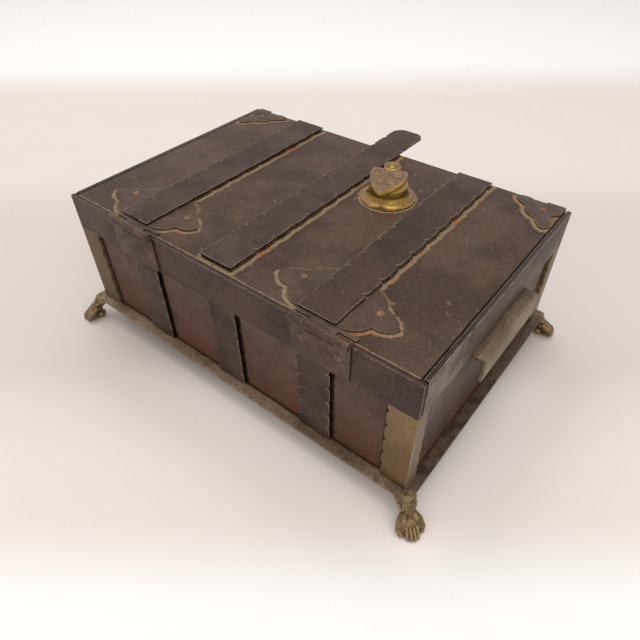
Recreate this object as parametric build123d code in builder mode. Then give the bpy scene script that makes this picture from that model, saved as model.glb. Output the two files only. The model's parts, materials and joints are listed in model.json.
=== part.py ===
# An iron strongbox with brass corner posts, a brass lock on its flat lid and four
# cast paw feet. Millimetres, +Z up. The origin is on the ground, in the middle of
# the whole box, and the hinges are at the back, on the -Y side.
import os
from math import acos, asin, cos, degrees, floor, pi, radians, sin, sqrt, tan

from build123d import *

os.makedirs("parts", exist_ok=True)

# Case
case_length = 305.0
case_width = 205.0
case_height = 100.5
base_thickness = 2.5
base_overhang = 6.0
base_corner_radius = 2.0
panel_thickness = 2.0
panel_flange_width = 10.0
band_thickness = 3.0
band_height = 27.5
band_joint_gap = 1.8

# Brass corner posts
post_leg_long_side = 19.0
post_leg_short_side = 12.0
post_nick_depth = 1.5

# Iron straps, with nicks along both edges and a slight bow from nick to nick
strap_thickness = 3.0
lid_strap_width = 27.0
lid_strap_share = 0.2672
lid_strap_shift = -4.0
wall_strap_width = 25.0
wall_strap_share = 0.2557
wall_strap_shift = 2.0
nick_depth = 2.2
nick_width = 3.2
edge_bow = 0.5
lid_nick_pitch = 17.4
lid_nick_starts = {"left": 27.0, "middle": 24.4, "right": 30.9}
wall_nick_pitch = 13.3
wall_nick_start = 11.6
strap_back_inset = 7.0
strap_front_inset = 2.0
pull_reach = 39.5
pull_corner_radius = 10.0

# Lid
lid_thickness = 2.0
lid_side_gap = 1.2
lid_back_gap = 0.6
lid_front_lip = 1.5

# Hinges
hinge_length = 43.0
hinge_share = 0.541
hinge_shift = 3.5
hinge_leaf_thickness = 1.4
hinge_leaf_drop = 27.0
barrel_radius = 2.8
barrel_out = 2.3
barrel_up = 1.9
hinge_pin_radius = 1.2
hinge_pin_play = 0.05
hinge_pin_end = 0.7
middle_knuckle_length = 19.2
knuckle_gap = 0.3
leaf_slot_reach = 3.8
leaf_tail_margin = 2.0
leaf_tail_length = 22.0
leaf_tail_play = 0.1
hinge_screw_spread = 27.0
hinge_screw_drop = 12.0
hinge_screw_radius = 2.6
hinge_screw_shank_radius = 1.3
hinge_screw_length = 2.5
hinge_screw_dome = 0.7

# Thin ornament plates on the lid
ornament_thickness = 1.2
wing_reach = 44.0
wing_length = 42.0
wing_back_gap = 0.3
wing_rivet_spread = 56.0
wing_rivet_back = 24.0
corner_plate_reach = 35.5
corner_plate_inset = 0.4
corner_rivet_inset = 13.0
ornament_rivet_radius = 2.4
ornament_rivet_dome = 0.8

# Rivets that join the bars to the sheets, hidden outside and domed inside
rivet_radius = 1.5
rivet_play = 0.05
rivet_depth = 2.0
rivet_head_radius = 3.0
rivet_head_height = 1.2
rivet_end_margin = 12.0
lid_rivet_margin = 11.0

# Handles, angle bars that stand out from both ends
handle_length = 80.0
handle_drop = 1.6
handle_reach = 9.3
handle_height = 18.0
handle_thickness = 2.2
handle_bend_radius = 0.8
handle_tenon_width = 12.0
handle_tenon_spacing = 50.0
handle_tenon_play = 0.05
handle_tenon_head = 1.5
handle_tenon_head_margin = 1.5

# Feet
foot_height = 21.0
foot_inset = 13.0
foot_stud_radius = 2.5
foot_stud_play = 0.1
foot_pad_thickness = 3.0
foot_pad_radius = 7.0
foot_cuff_radius = 8.0
foot_waist_radius = 5.2
foot_waist_out = 6.5
foot_paw_width = 21.0
foot_paw_length = 19.0
foot_toe_radius = 3.4
foot_toe_count = 4
foot_toe_spread = 96.0
foot_nut_width = 8.0
foot_nut_height = 4.0
foot_stud_end = 1.0

# Lock boss on the lid
lock_share = 0.5105
lock_setback = 62.1
boss_flange_radius = 20.5
boss_rim_height = 1.0
boss_rim_width = 1.6
boss_cone_height = 6.0
boss_radius = 14.0
boss_height = 10.6
boss_ear_height = 4.6
boss_spigot_radius = 10.0
boss_spigot_play = 0.05
boss_nut_radius = 13.0
boss_nut_height = 3.5
boss_nut_flat_depth = 1.5

# Cover plate over the keyhole, which swings on a pivot beside the boss
cover_thickness = 3.2
cover_gap = 0.2
cover_angle = 19.0
cover_length = 39.8
cover_half_width = 13.8
cover_shoulder_share = 0.108
cover_side = [(0.90, cover_shoulder_share), (1.0, 0.276), (0.93, 0.427)]
cover_tip = [(0.93, 0.427), (0.60, 0.729), (0.0, 1.0)]
cover_corner_radius = 1.5
cover_field_margin = 1.8
cover_field_depth = 0.5
cover_eye_radius = 6.3
cover_collar_height = 0.8
cover_collar_wall = 1.8
pivot_x = -9.2
pivot_y = 18.6
pivot_radius = 2.2
pivot_play = 0.05
pivot_head_radius = 3.6
pivot_head_height = 1.4
pivot_head_gap = 0.1

# Plug with its pinion, and the bolt with its rack
plug_radius = 6.0
plug_play = 0.05
plug_top_gap = 0.3
keyhole_radius = 1.9
keyhole_width = 1.8
keyhole_reach = 5.0
keyhole_depth = 9.0
plug_square = 5.0
plug_tail_radius = 2.2
plug_tail_end = 0.5
tooth_module = 1.5
pinion_teeth = 8
pinion_addendum = 1.3
rack_addendum = 0.7
rack_teeth = 4
tooth_root_gap = 0.35
tooth_backlash = 0.2
pressure_angle = 20.0
pinion_thickness = 6.0
lock_turn = 90.0
bolt_width = 9.0
bolt_height = 7.0
bolt_play = 0.25
bolt_tail_length = 16.0

# Case of the lock, under the lid
lock_case_wall = 1.5
lock_case_side_gap = 0.6
lock_case_front = 38.0
lock_case_back = 19.0
lock_ear_width = 8.0
lock_rivet_inset = 7.0

# Box staple that takes the bolt, inside the front panel
strike_depth = 10.0
strike_wall = 2.0
strike_ear_width = 9.0
strike_gap = 1.2
strike_bolt_clearance = 0.35

# Levels above the ground
base_bottom = foot_height
base_top = base_bottom + base_thickness
case_top = base_bottom + case_height
lid_bottom = case_top - lid_thickness
band_bottom = case_top - band_height
wall_strap_length = band_bottom - base_top
hinge_axis_z = case_top + barrel_up

# Distances out from the middle of the case
end_x = case_length / 2
wall_y = case_width / 2
panel_x = end_x - band_thickness
panel_y = wall_y - band_thickness
inner_x = panel_x - panel_thickness
inner_y = panel_y - panel_thickness
lid_x = panel_x - lid_side_gap
lid_back_y = panel_y - lid_back_gap
lid_front_y = wall_y + lid_front_lip
strap_back_y = wall_y - strap_back_inset
strap_front_y = lid_front_y - strap_front_inset
hinge_axis_y = wall_y + barrel_out
stud_x = end_x - foot_inset
stud_y = wall_y - foot_inset

lid_strap_pitch = case_length * lid_strap_share
wall_strap_pitch = case_length * wall_strap_share
hinge_pitch = case_length * hinge_share
lock_x = lid_strap_shift + lid_strap_pitch * lock_share
lock_y = wall_y - lock_setback
lid_strap_places = {
    "left": lid_strap_shift - lid_strap_pitch,
    "middle": lid_strap_shift,
    "right": lid_strap_shift + lid_strap_pitch,
}
wall_strap_places = {
    "left": wall_strap_shift - wall_strap_pitch,
    "middle": wall_strap_shift,
    "right": wall_strap_shift + wall_strap_pitch,
}
hinge_places = {
    "left": hinge_shift - hinge_pitch / 2,
    "right": hinge_shift + hinge_pitch / 2,
}
wall_signs = {"back": -1, "front": 1}
end_signs = {"left": -1, "right": 1}
corners = [(end, wall) for end in end_signs for wall in wall_signs]

# A lion's paw, drawn with its stud at the origin and its toes towards +X. It comes
# first, because its reach sets where the middle of the whole box is.
foot_out = foot_inset * sqrt(2)
cuff_out = foot_out + foot_cuff_radius * 0.2
paw_out = foot_out + foot_paw_length * 0.85
toe_ring = foot_paw_length / 2 - foot_toe_radius * 0.55
leg_sections = [
    (foot_height - foot_pad_thickness, cuff_out, foot_cuff_radius, foot_cuff_radius),
    (foot_height * 0.66, foot_out + foot_waist_out, foot_waist_radius, foot_waist_radius),
    (foot_height * 0.40, paw_out - 4.0, foot_paw_length * 0.40, foot_paw_width * 0.40),
    (foot_height * 0.20, paw_out, foot_paw_length * 0.48, foot_paw_width * 0.49),
    (0.0, paw_out, foot_paw_length * 0.44, foot_paw_width * 0.46),
]
with BuildPart() as foot_pattern:
    for height, out, half_length, half_width in leg_sections:
        with BuildSketch(Plane.XY.offset(height)):
            with Locations((out, 0)):
                Ellipse(half_length, half_width)
    loft()
    with BuildSketch(Plane.XY.offset(foot_height - foot_pad_thickness)):
        with Locations((foot_out / 2, 0)):
            SlotCenterToCenter(foot_out, 2 * foot_pad_radius)
        with Locations((cuff_out, 0)):
            Circle(foot_cuff_radius)
    extrude(amount=foot_pad_thickness)
    with BuildSketch(Plane.XY.offset(foot_height)):
        Circle(foot_stud_radius)
    extrude(amount=base_thickness + foot_nut_height + foot_stud_end)
    toe_step = foot_toe_spread / (foot_toe_count - 1)
    for toe in range(foot_toe_count):
        angle = radians(toe * toe_step - foot_toe_spread / 2)
        toe_x = paw_out + toe_ring * cos(angle)
        toe_y = toe_ring * foot_paw_width / foot_paw_length * sin(angle)
        with Locations((toe_x, toe_y, foot_toe_radius * 0.8)):
            Sphere(foot_toe_radius)
    split(bisect_by=Plane.XY, keep=Keep.TOP)

back_reach = stud_y + (Rot(0, 0, 45) * foot_pattern.part).bounding_box().max.Y
front_reach = wall_y + pull_reach
case_y = (back_reach - front_reach) / 2


def level(height, sign=1):
    """A horizontal plane at this height, centred on the case, that faces up (1) or down (-1)."""
    return Plane(origin=(0, case_y, height), x_dir=(1, 0, 0), z_dir=(0, 0, sign))


def wall_plane(distance, sign):
    """An upright plane that faces out of the back (-1) or front (1) of the case."""
    return Plane(
        origin=(0, case_y + sign * distance, 0), x_dir=(-sign, 0, 0), z_dir=(0, sign, 0)
    )


def end_plane(distance, sign):
    """An upright plane that faces out of the left (-1) or right (1) end of the case."""
    return Plane(
        origin=(sign * distance, case_y, 0), x_dir=(0, sign, 0), z_dir=(sign, 0, 0)
    )


def save(builder, name):
    """Labels a finished piece and writes it under its own name."""
    builder.part.label = name
    export_step(builder.part, f"parts/{name}.step")


def spread(length, count, margin=rivet_end_margin):
    """Even places along a length about its middle, with a margin at both ends."""
    run = length - 2 * margin
    return [run * (i / (count - 1) - 0.5) for i in range(count)]


def block(plane, left, right, bottom, top, depth, mode=Mode.ADD):
    """A block with these edges on a plane, as deep as given along the plane's direction."""
    with BuildSketch(plane) as outline:
        with Locations(((left + right) / 2, (bottom + top) / 2)):
            Rectangle(right - left, top - bottom)
    extrude(outline.sketch, amount=depth, mode=mode)


def dome(radius, height):
    """An arc from the rim of a domed head to its crown, where a section is drawn."""
    ball = (radius**2 + height**2) / (2 * abs(height))
    half = asin(radius / ball) / 2
    side = 1 if height > 0 else -1
    ThreePointArc((radius, 0), (ball * sin(half), height - side * ball * (1 - cos(half))), (0, height))


def rivet(shank_radius, length, head_radius, head_height):
    """A rivet with its shank up local Z from the origin and its domed head below it."""
    with BuildPart() as one:
        with BuildSketch(Plane.XZ):
            with BuildLine():
                dome(head_radius, -head_height)
                Polyline(
                    (head_radius, 0), (shank_radius, 0), (shank_radius, length), (0, length)
                )
                Line((0, length), (0, -head_height))
            make_face()
        revolve(axis=Axis.Z)
    return one.part


def place_all(shape, plane, places):
    """Adds a copy of a shape at each place on a plane, its Z along the plane's direction."""
    for u, v in places:
        add(plane.location * Pos(u, v, 0) * shape)


def holes(plane, places, radius, depth):
    """Cuts round holes at these places, from a plane along its direction."""
    with BuildSketch(plane) as outline:
        with Locations(*places):
            Circle(radius)
    extrude(outline.sketch, amount=depth, mode=Mode.SUBTRACT)


def nick_places(start, pitch, length, end_margin=nick_width):
    """Even places along a bar, from its first nick to the last that leaves a whole end."""
    count = floor((length - start - end_margin) / pitch) + 1
    return [start + pitch * i for i in range(count)]


def nicked_edge(x, side, length, nicks, depth):
    """One long edge of a bar: V-shaped nicks, and a slight bow from each to the next."""
    half = nick_width / 2
    starts = [0] + [place + half for place in nicks]
    ends = [place - half for place in nicks] + [length]
    for start, end in zip(starts, ends):
        ThreePointArc((x, start), (x + side * edge_bow, (start + end) / 2), (x, end))
    for place in nicks:
        Polyline((x, place - half), (x - side * depth, place), (x, place + half))


def bar_outline(left, right, length, left_nicks, right_nicks, depth=nick_depth):
    """Outline of a bar up local Y between two edges, each nicked where it has nicks."""
    with BuildSketch() as outline:
        with BuildLine():
            for x, side, nicks in ((left, -1, left_nicks), (right, 1, right_nicks)):
                if nicks:
                    nicked_edge(x, side, length, nicks, depth)
                else:
                    Line((x, 0), (x, length))
            for y in (0, length):
                Line((left, y), (right, y))
        make_face()
    return outline.sketch


# Rivet places on the walls: (along the wall from its middle, height), as each wall
# plane sees them. They are alike on the back and the front, and on both ends.
band_rivet_z = (band_bottom + lid_bottom) / 2
wall_rivet_heights = [base_top + wall_strap_length * share for share in (0.25, 0.75)]
band_wall_rivets = [(x, band_rivet_z) for x in spread(2 * panel_x, 6)]
band_end_rivets = [(y, band_rivet_z) for y in spread(2 * inner_y, 3)]
post_wall_x = end_x - post_leg_long_side / 2
post_end_y = (wall_y - post_leg_short_side + inner_y) / 2
post_wall_rivets = [(s * post_wall_x, z) for s in (-1, 1) for z in wall_rivet_heights]
post_end_rivets = [(s * post_end_y, z) for s in (-1, 1) for z in wall_rivet_heights]

# Rivets of the floor, through the flanges of the back and front panels
flange_half_length = stud_x - foot_nut_width
flange_rivet_y = inner_y - panel_flange_width / 2
floor_rivets = [(x, s * flange_rivet_y) for s in (-1, 1) for x in spread(2 * flange_half_length, 4)]


def strap_rivets(sign):
    """Places of the wall straps' rivets, as the back or front plane sees them."""
    return [(-sign * x, z) for x in wall_strap_places.values() for z in wall_rivet_heights]


def strike_rivets(sign):
    """Places of the staple's two rivets, on the front wall alone."""
    reach = bolt_width / 2 + strike_bolt_clearance + strike_wall + strike_ear_width / 2
    return [(-bolt_x - reach, bolt_z), (-bolt_x + reach, bolt_z)] if sign > 0 else []


# Places in the lock, under the lid
pinion_pitch_radius = tooth_module * pinion_teeth / 2
pinion_base_radius = pinion_pitch_radius * cos(radians(pressure_angle))
pinion_tip_radius = pinion_pitch_radius + pinion_addendum
pinion_root_radius = pinion_pitch_radius - rack_addendum - tooth_root_gap
tooth_pitch = pi * tooth_module
rack_root_x = lock_x + pinion_tip_radius + tooth_root_gap
rack_tip_x = lock_x + pinion_pitch_radius - rack_addendum
bolt_x = rack_root_x + bolt_width / 2
bolt_top = lid_bottom - boss_nut_height - bolt_play
bolt_bottom = bolt_top - bolt_height
bolt_z = (bolt_top + bolt_bottom) / 2
bolt_travel = radians(lock_turn) * pinion_pitch_radius
bolt_tip_y = inner_y - strike_depth - strike_gap
bolt_tail_y = lock_y - bolt_tail_length
pinion_bottom = bolt_z - pinion_thickness / 2
lock_floor_top = bolt_bottom - bolt_play
lock_floor_bottom = lock_floor_top - lock_case_wall
lock_left = lock_x - boss_nut_radius - lock_case_side_gap
lock_right = bolt_x + bolt_width / 2 + lock_case_side_gap
lock_back = lock_y - lock_case_back
lock_front = lock_y + lock_case_front
print("bolt travel", round(bolt_travel, 4), "middle of the case in y", round(case_y, 4))

# Base plate, which is the floor and stands out all round as a flange
with BuildPart() as base_plate:
    with BuildSketch(level(base_bottom)):
        Rectangle(case_length + 2 * base_overhang, case_width + 2 * base_overhang)
    extrude(amount=base_thickness)
    fillet(base_plate.edges().filter_by(Axis.Z), base_corner_radius)
    foot_places = [(x, y) for x in (-stud_x, stud_x) for y in (-stud_y, stud_y)]
    holes(level(base_bottom), foot_places, foot_stud_radius + foot_stud_play, base_thickness)
    holes(level(base_bottom), floor_rivets, rivet_radius + rivet_play, base_thickness)
save(base_plate, "base_plate")

# Back and front panels, each with a flange turned in along the floor
for wall, sign in wall_signs.items():
    inside = wall_plane(inner_y, sign)
    hole_radius = rivet_radius + rivet_play
    with BuildPart() as long_panel:
        block(inside, -panel_x, panel_x, base_top, lid_bottom, panel_thickness)
        block(
            inside, -flange_half_length, flange_half_length,
            base_top, base_top + panel_thickness, -panel_flange_width,
        )
        places = band_wall_rivets + post_wall_rivets + strap_rivets(sign) + strike_rivets(sign)
        holes(inside, places, hole_radius, panel_thickness)
        holes(level(base_top), floor_rivets, hole_radius, panel_thickness)
    save(long_panel, f"{wall}_panel")

# End panels, with two slots each for the tenons of the handle
tenon_z = band_bottom - handle_drop - handle_thickness / 2
for end, sign in end_signs.items():
    inside = end_plane(inner_x, sign)
    with BuildPart() as end_panel:
        block(inside, -inner_y, inner_y, base_top, lid_bottom, panel_thickness)
        holes(inside, band_end_rivets + post_end_rivets, rivet_radius + rivet_play, panel_thickness)
        with BuildSketch(inside):
            with Locations((0, tenon_z)):
                with GridLocations(handle_tenon_spacing, 1, 2, 1):
                    Rectangle(
                        handle_tenon_width + 2 * handle_tenon_play,
                        handle_thickness + 2 * handle_tenon_play,
                    )
        extrude(amount=panel_thickness, mode=Mode.SUBTRACT)
    save(end_panel, f"{end}_panel")

# Bands round the rim. The back one runs to both ends, the two at the ends start
# just in front of it, and the front one lies between those, under the lid's edge.
with BuildPart() as back_band:
    outside = wall_plane(panel_y, -1)
    block(outside, -end_x, end_x, band_bottom, case_top, band_thickness)
    holes(outside, band_wall_rivets, rivet_radius + rivet_play, rivet_depth)
    for x in hinge_places.values():
        screws = [(x + s * hinge_screw_spread / 2, case_top - hinge_screw_drop) for s in (-1, 1)]
        holes(wall_plane(wall_y, -1), screws, hinge_screw_shank_radius, -hinge_screw_length)
save(back_band, "back_band")

with BuildPart() as front_band:
    outside = wall_plane(panel_y, 1)
    block(outside, -panel_x, panel_x, band_bottom, lid_bottom, band_thickness)
    places = band_wall_rivets + strike_rivets(1)
    holes(outside, places, rivet_radius + rivet_play, rivet_depth)
save(front_band, "front_band")

for end, sign in end_signs.items():
    with BuildPart() as end_band:
        outside = end_plane(panel_x, sign)
        near = -sign * (panel_y - band_joint_gap)
        far = sign * wall_y
        block(outside, min(near, far), max(near, far), band_bottom, case_top, band_thickness)
        holes(outside, band_end_rivets, rivet_radius + rivet_play, rivet_depth)
    save(end_band, f"{end}_band")

# Corner posts, L-shaped, with nicks along their inner edges
post_nicks = nick_places(wall_nick_start, wall_nick_pitch, wall_strap_length)
for end, wall in corners:
    end_sign = end_signs[end]
    wall_sign = wall_signs[wall]
    with BuildPart() as post:
        # The leg on the long wall, from the corner inwards along local X
        to_corner = -wall_sign * end_sign
        edges = sorted([to_corner * (end_x - post_leg_long_side), to_corner * end_x])
        nicks = [[], post_nicks] if to_corner < 0 else [post_nicks, []]
        with BuildSketch(wall_plane(panel_y, wall_sign)):
            with Locations((0, base_top)):
                add(bar_outline(*edges, wall_strap_length, *nicks, post_nick_depth))
        extrude(amount=band_thickness)
        # The leg on the end wall
        to_corner = wall_sign * end_sign
        edges = sorted([to_corner * (wall_y - post_leg_short_side), to_corner * wall_y])
        nicks = [[], post_nicks] if to_corner < 0 else [post_nicks, []]
        with BuildSketch(end_plane(panel_x, end_sign)):
            with Locations((0, base_top)):
                add(bar_outline(*edges, wall_strap_length, *nicks, post_nick_depth))
        extrude(amount=band_thickness)
        hole_radius = rivet_radius + rivet_play
        holes(wall_plane(panel_y, wall_sign), post_wall_rivets, hole_radius, rivet_depth)
        holes(end_plane(panel_x, end_sign), post_end_rivets, hole_radius, rivet_depth)
    save(post, f"{wall}_{end}_post")

# Straps up the back and front walls, under the band
wall_nicks = nick_places(wall_nick_start, wall_nick_pitch, wall_strap_length)
for wall, sign in wall_signs.items():
    for place, x in wall_strap_places.items():
        with BuildPart() as wall_strap:
            half = wall_strap_width / 2
            with BuildSketch(wall_plane(panel_y, sign)):
                with Locations((-sign * x, base_top)):
                    add(bar_outline(-half, half, wall_strap_length, wall_nicks, wall_nicks))
            extrude(amount=strap_thickness)
            holes(wall_plane(panel_y, sign), strap_rivets(sign), rivet_radius + rivet_play, rivet_depth)
        save(wall_strap, f"{wall}_{place}_strap")

# Feet, each turned so that its toes point out of its corner, and their nuts inside
for end, wall in corners:
    turn = degrees(acos(0)) * wall_signs[wall] - 45 * wall_signs[wall] * end_signs[end]
    place = Pos(end_signs[end] * stud_x, case_y + wall_signs[wall] * stud_y, 0)
    with BuildPart() as foot:
        add(place * Rot(0, 0, turn) * foot_pattern.part)
    save(foot, f"{wall}_{end}_foot")

with BuildPart() as foot_nuts:
    with BuildSketch(level(base_top)):
        with Locations(*foot_places):
            RegularPolygon(foot_nut_width / 2, 6, major_radius=False)
            Circle(foot_stud_radius + foot_stud_play, mode=Mode.SUBTRACT)
    extrude(amount=foot_nut_height)
save(foot_nuts, "foot_nuts")

# Handles: angle bars whose two tenons pass through the end panel and are spread inside
for end, sign in end_signs.items():
    section = Plane(origin=(0, case_y, 0), x_dir=(sign, 0, 0), z_dir=(0, -sign, 0))
    outer = end_x + handle_reach
    top = band_bottom - handle_drop
    under = top - handle_thickness
    inner = outer - handle_thickness
    with BuildPart() as handle:
        with BuildSketch(section) as angle_section:
            with BuildLine():
                Polyline(
                    (panel_x, under), (panel_x, top), (outer, top), (outer, top - handle_height),
                    (inner, top - handle_height), (inner, under), close=True,
                )
            make_face()
            bend = angle_section.vertices().sort_by_distance((outer, top))[:1]
            inside_bend = angle_section.vertices().sort_by_distance((inner, under))[:1]
            fillet(bend, handle_bend_radius + handle_thickness / 2)
            fillet(inside_bend, handle_bend_radius)
        extrude(amount=handle_length / 2, both=True)
        for y in (-handle_tenon_spacing / 2, handle_tenon_spacing / 2):
            half = handle_tenon_width / 2
            block(end_plane(inner_x, sign), y - half, y + half, under, top, panel_thickness)
            margin = handle_tenon_head_margin
            block(
                end_plane(inner_x, sign), y - half - margin, y + half + margin,
                under - margin, top + margin, -handle_tenon_head,
            )
    save(handle, f"{end}_handle")

# Hinges. The body leaf has two outer knuckles and lies on the back band; the lid leaf
# has the middle knuckle, lies on the lid and has a tail under the strap.
middle_half = middle_knuckle_length / 2
hinge_half = hinge_length / 2
slot_reach = barrel_radius + leaf_slot_reach
lid_strap_half = lid_strap_width / 2
tail_half = lid_strap_half - leaf_tail_margin
tail_front = -strap_back_y + leaf_tail_length


def hinge_section(x):
    """The upright plane across a hinge at its middle, on the hinge's axis."""
    return Plane(
        origin=(x, case_y - hinge_axis_y, hinge_axis_z), x_dir=(0, 1, 0), z_dir=(1, 0, 0)
    )


lid_rivet_ys = spread(2 * strap_back_y, 4, lid_rivet_margin)
lid_rivets = [(x, y) for x in lid_strap_places.values() for y in lid_rivet_ys]

for side, x in hinge_places.items():
    section = hinge_section(x)
    leaf_screws = [(x + s * hinge_screw_spread / 2, case_top - hinge_screw_drop) for s in (-1, 1)]
    with BuildPart() as body_leaf:
        with BuildSketch(section):
            Circle(barrel_radius)
            with Locations((barrel_out - hinge_leaf_thickness / 2, -barrel_up / 2 - hinge_leaf_drop / 2)):
                Rectangle(hinge_leaf_thickness, barrel_up + hinge_leaf_drop)
        extrude(amount=hinge_half, both=True)
        slot_half = middle_half + knuckle_gap
        block(
            wall_plane(wall_y, -1), x - slot_half, x + slot_half,
            hinge_axis_z - slot_reach, hinge_axis_z + slot_reach, 2 * slot_reach, Mode.SUBTRACT,
        )
        block(
            wall_plane(wall_y, -1), x - slot_half, x + slot_half,
            hinge_axis_z - barrel_radius, hinge_axis_z + barrel_radius,
            -barrel_radius, Mode.SUBTRACT,
        )
        with BuildSketch(section):
            Circle(hinge_pin_radius + hinge_pin_play)
        extrude(amount=hinge_half, both=True, mode=Mode.SUBTRACT)
        holes(wall_plane(wall_y, -1), leaf_screws, hinge_screw_shank_radius, hinge_leaf_thickness)
    save(body_leaf, f"{side}_hinge_body_leaf")

    strap_x = lid_strap_places[side]
    with BuildPart() as lid_leaf:
        reach = hinge_axis_y - strap_back_y
        with BuildSketch(section):
            Circle(barrel_radius)
            with Locations((reach / 2, -barrel_up + hinge_leaf_thickness / 2)):
                Rectangle(reach, hinge_leaf_thickness)
        extrude(amount=middle_half, both=True)
        for s in (-1, 1):
            ends = sorted([s * middle_half, s * hinge_half])
            block(
                level(case_top), x + ends[0], x + ends[1],
                slot_reach - hinge_axis_y, -strap_back_y, hinge_leaf_thickness,
            )
        block(
            level(case_top), strap_x - tail_half, strap_x + tail_half,
            -strap_back_y, tail_front, hinge_leaf_thickness,
        )
        with BuildSketch(section):
            Circle(hinge_pin_radius + hinge_pin_play)
        extrude(amount=middle_half, both=True, mode=Mode.SUBTRACT)
        tail_rivet = [(strap_x, lid_rivet_ys[0])]
        holes(level(case_top), tail_rivet, rivet_radius + rivet_play, hinge_leaf_thickness)
    save(lid_leaf, f"{side}_hinge_lid_leaf")

    with BuildPart() as hinge_pin:
        with BuildSketch(section):
            Circle(hinge_pin_radius)
        extrude(amount=hinge_half + hinge_pin_end, both=True)
    save(hinge_pin, f"{side}_hinge_pin")

screw = rivet(
    hinge_screw_shank_radius, hinge_leaf_thickness + hinge_screw_length,
    hinge_screw_radius, hinge_screw_dome,
)
with BuildPart() as hinge_screws:
    for x in hinge_places.values():
        screws = [(-x + s * hinge_screw_spread / 2, case_top - hinge_screw_drop) for s in (-1, 1)]
        place_all(screw, wall_plane(-wall_y - hinge_leaf_thickness, 1), screws)
save(hinge_screws, "hinge_screws")

# Rivets of the walls, group by group. Heads are inside, shanks end within the bars.
wall_rivet = rivet(rivet_radius, panel_thickness + rivet_depth, rivet_head_radius, rivet_head_height)
with BuildPart() as band_rivets:
    for sign in wall_signs.values():
        place_all(wall_rivet, wall_plane(inner_y, sign), band_wall_rivets)
    for sign in end_signs.values():
        place_all(wall_rivet, end_plane(inner_x, sign), band_end_rivets)
save(band_rivets, "band_rivets")

with BuildPart() as post_rivets:
    for sign in wall_signs.values():
        place_all(wall_rivet, wall_plane(inner_y, sign), post_wall_rivets)
    for sign in end_signs.values():
        place_all(wall_rivet, end_plane(inner_x, sign), post_end_rivets)
save(post_rivets, "post_rivets")

with BuildPart() as wall_strap_rivets:
    for sign in wall_signs.values():
        place_all(wall_rivet, wall_plane(inner_y, sign), strap_rivets(sign))
save(wall_strap_rivets, "wall_strap_rivets")

floor_rivet = rivet(rivet_radius, panel_thickness + base_thickness, rivet_head_radius, rivet_head_height)
with BuildPart() as base_rivets:
    place_all(floor_rivet, level(base_top + panel_thickness, -1), floor_rivets)
save(base_rivets, "base_rivets")

# Lid plate, which lies on the tops of the panels between the end bands
lid_corner_x = lid_x - corner_rivet_inset
lid_corner_y = lid_front_y - corner_rivet_inset
wing_rivets = [
    (lid_strap_places[side] + s * wing_rivet_spread / 2, -strap_back_y + wing_rivet_back)
    for side in hinge_places for s in (-1, 1)
]
corner_rivets = [(-lid_corner_x, lid_corner_y), (lid_corner_x, lid_corner_y)]
lock_ear_reach = lock_case_wall + lock_ear_width / 2
lock_ear_xs = [lock_left - lock_ear_reach, lock_right + lock_ear_reach]
lock_ear_ys = [lock_back + lock_rivet_inset, lock_front - lock_rivet_inset]
lock_case_rivet_places = [(x, y) for x in lock_ear_xs for y in lock_ear_ys]
with BuildPart() as lid_plate:
    block(level(lid_bottom), -lid_x, lid_x, -lid_back_y, lid_front_y, lid_thickness)
    places = lid_rivets + wing_rivets + corner_rivets + lock_case_rivet_places
    holes(level(lid_bottom), places, rivet_radius + rivet_play, lid_thickness)
    spigot_hole = boss_spigot_radius + boss_spigot_play
    holes(level(lid_bottom), [(lock_x, lock_y)], spigot_hole, lid_thickness)
save(lid_plate, "lid_plate")

# Winged ornament plates under the back ends of the two outer lid straps. Points are
# shares of the wing's reach past the strap and of its length, from the back end.
wing_lobes = [
    ((0.05, 0.98), (0.28, 0.90), (0.54, 0.69)),
    ((0.54, 0.69), (0.82, 0.60), (1.00, 0.45)),
    ((1.00, 0.45), (0.80, 0.29), (0.55, 0.27)),
    ((0.55, 0.27), (0.40, 0.10), (0.10, 0.01)),
]


def wing_outline():
    """Outline of a winged plate about its strap's middle, up local Y from the back end."""
    out = wing_reach - lid_strap_half
    with BuildSketch() as outline:
        with BuildLine():
            for s in (-1, 1):
                for lobe in wing_lobes:
                    ThreePointArc(*[(s * (lid_strap_half + out * u), wing_length * v) for u, v in lobe])
            for u, v in (wing_lobes[0][0], wing_lobes[-1][-1]):
                edge = lid_strap_half + out * u
                Line((-edge, wing_length * v), (edge, wing_length * v))
        make_face()
    return outline.sketch


for side in hinge_places:
    strap_x = lid_strap_places[side]
    with BuildPart() as wing_plate:
        with BuildSketch(level(case_top)):
            with Locations((strap_x, -strap_back_y + wing_back_gap)):
                add(wing_outline())
        extrude(amount=ornament_thickness)
        notch = tail_half + leaf_tail_play
        block(
            level(case_top), strap_x - notch, strap_x + notch, -strap_back_y,
            tail_front + leaf_tail_play, ornament_thickness, Mode.SUBTRACT,
        )
        holes(level(case_top), wing_rivets, rivet_radius + rivet_play, ornament_thickness)
    save(wing_plate, f"{side}_wing_plate")

# Corner ornament plates on the lid's front corners, alike about the corner's diagonal.
# Points are shares of the plate's reach, from the side edge and from the front edge.
corner_lobes = [
    ((0.00, 0.36), (0.11, 0.50), (0.05, 0.67)),
    ((0.05, 0.67), (0.03, 0.85), (0.11, 1.00)),
    ((0.11, 1.00), (0.28, 0.87), (0.36, 0.70)),
]
corner_bulge = 0.60


def corner_arc(shares, sign, flip=False):
    """Places on a corner plate, from shares of its reach, for the left or right end."""
    pairs = [(b, a) if flip else (a, b) for a, b in shares]
    corner_x = lid_x - corner_plate_inset
    corner_y = lid_front_y - corner_plate_inset
    return [(sign * (corner_x - corner_plate_reach * a), corner_y - corner_plate_reach * b) for a, b in pairs]


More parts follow.
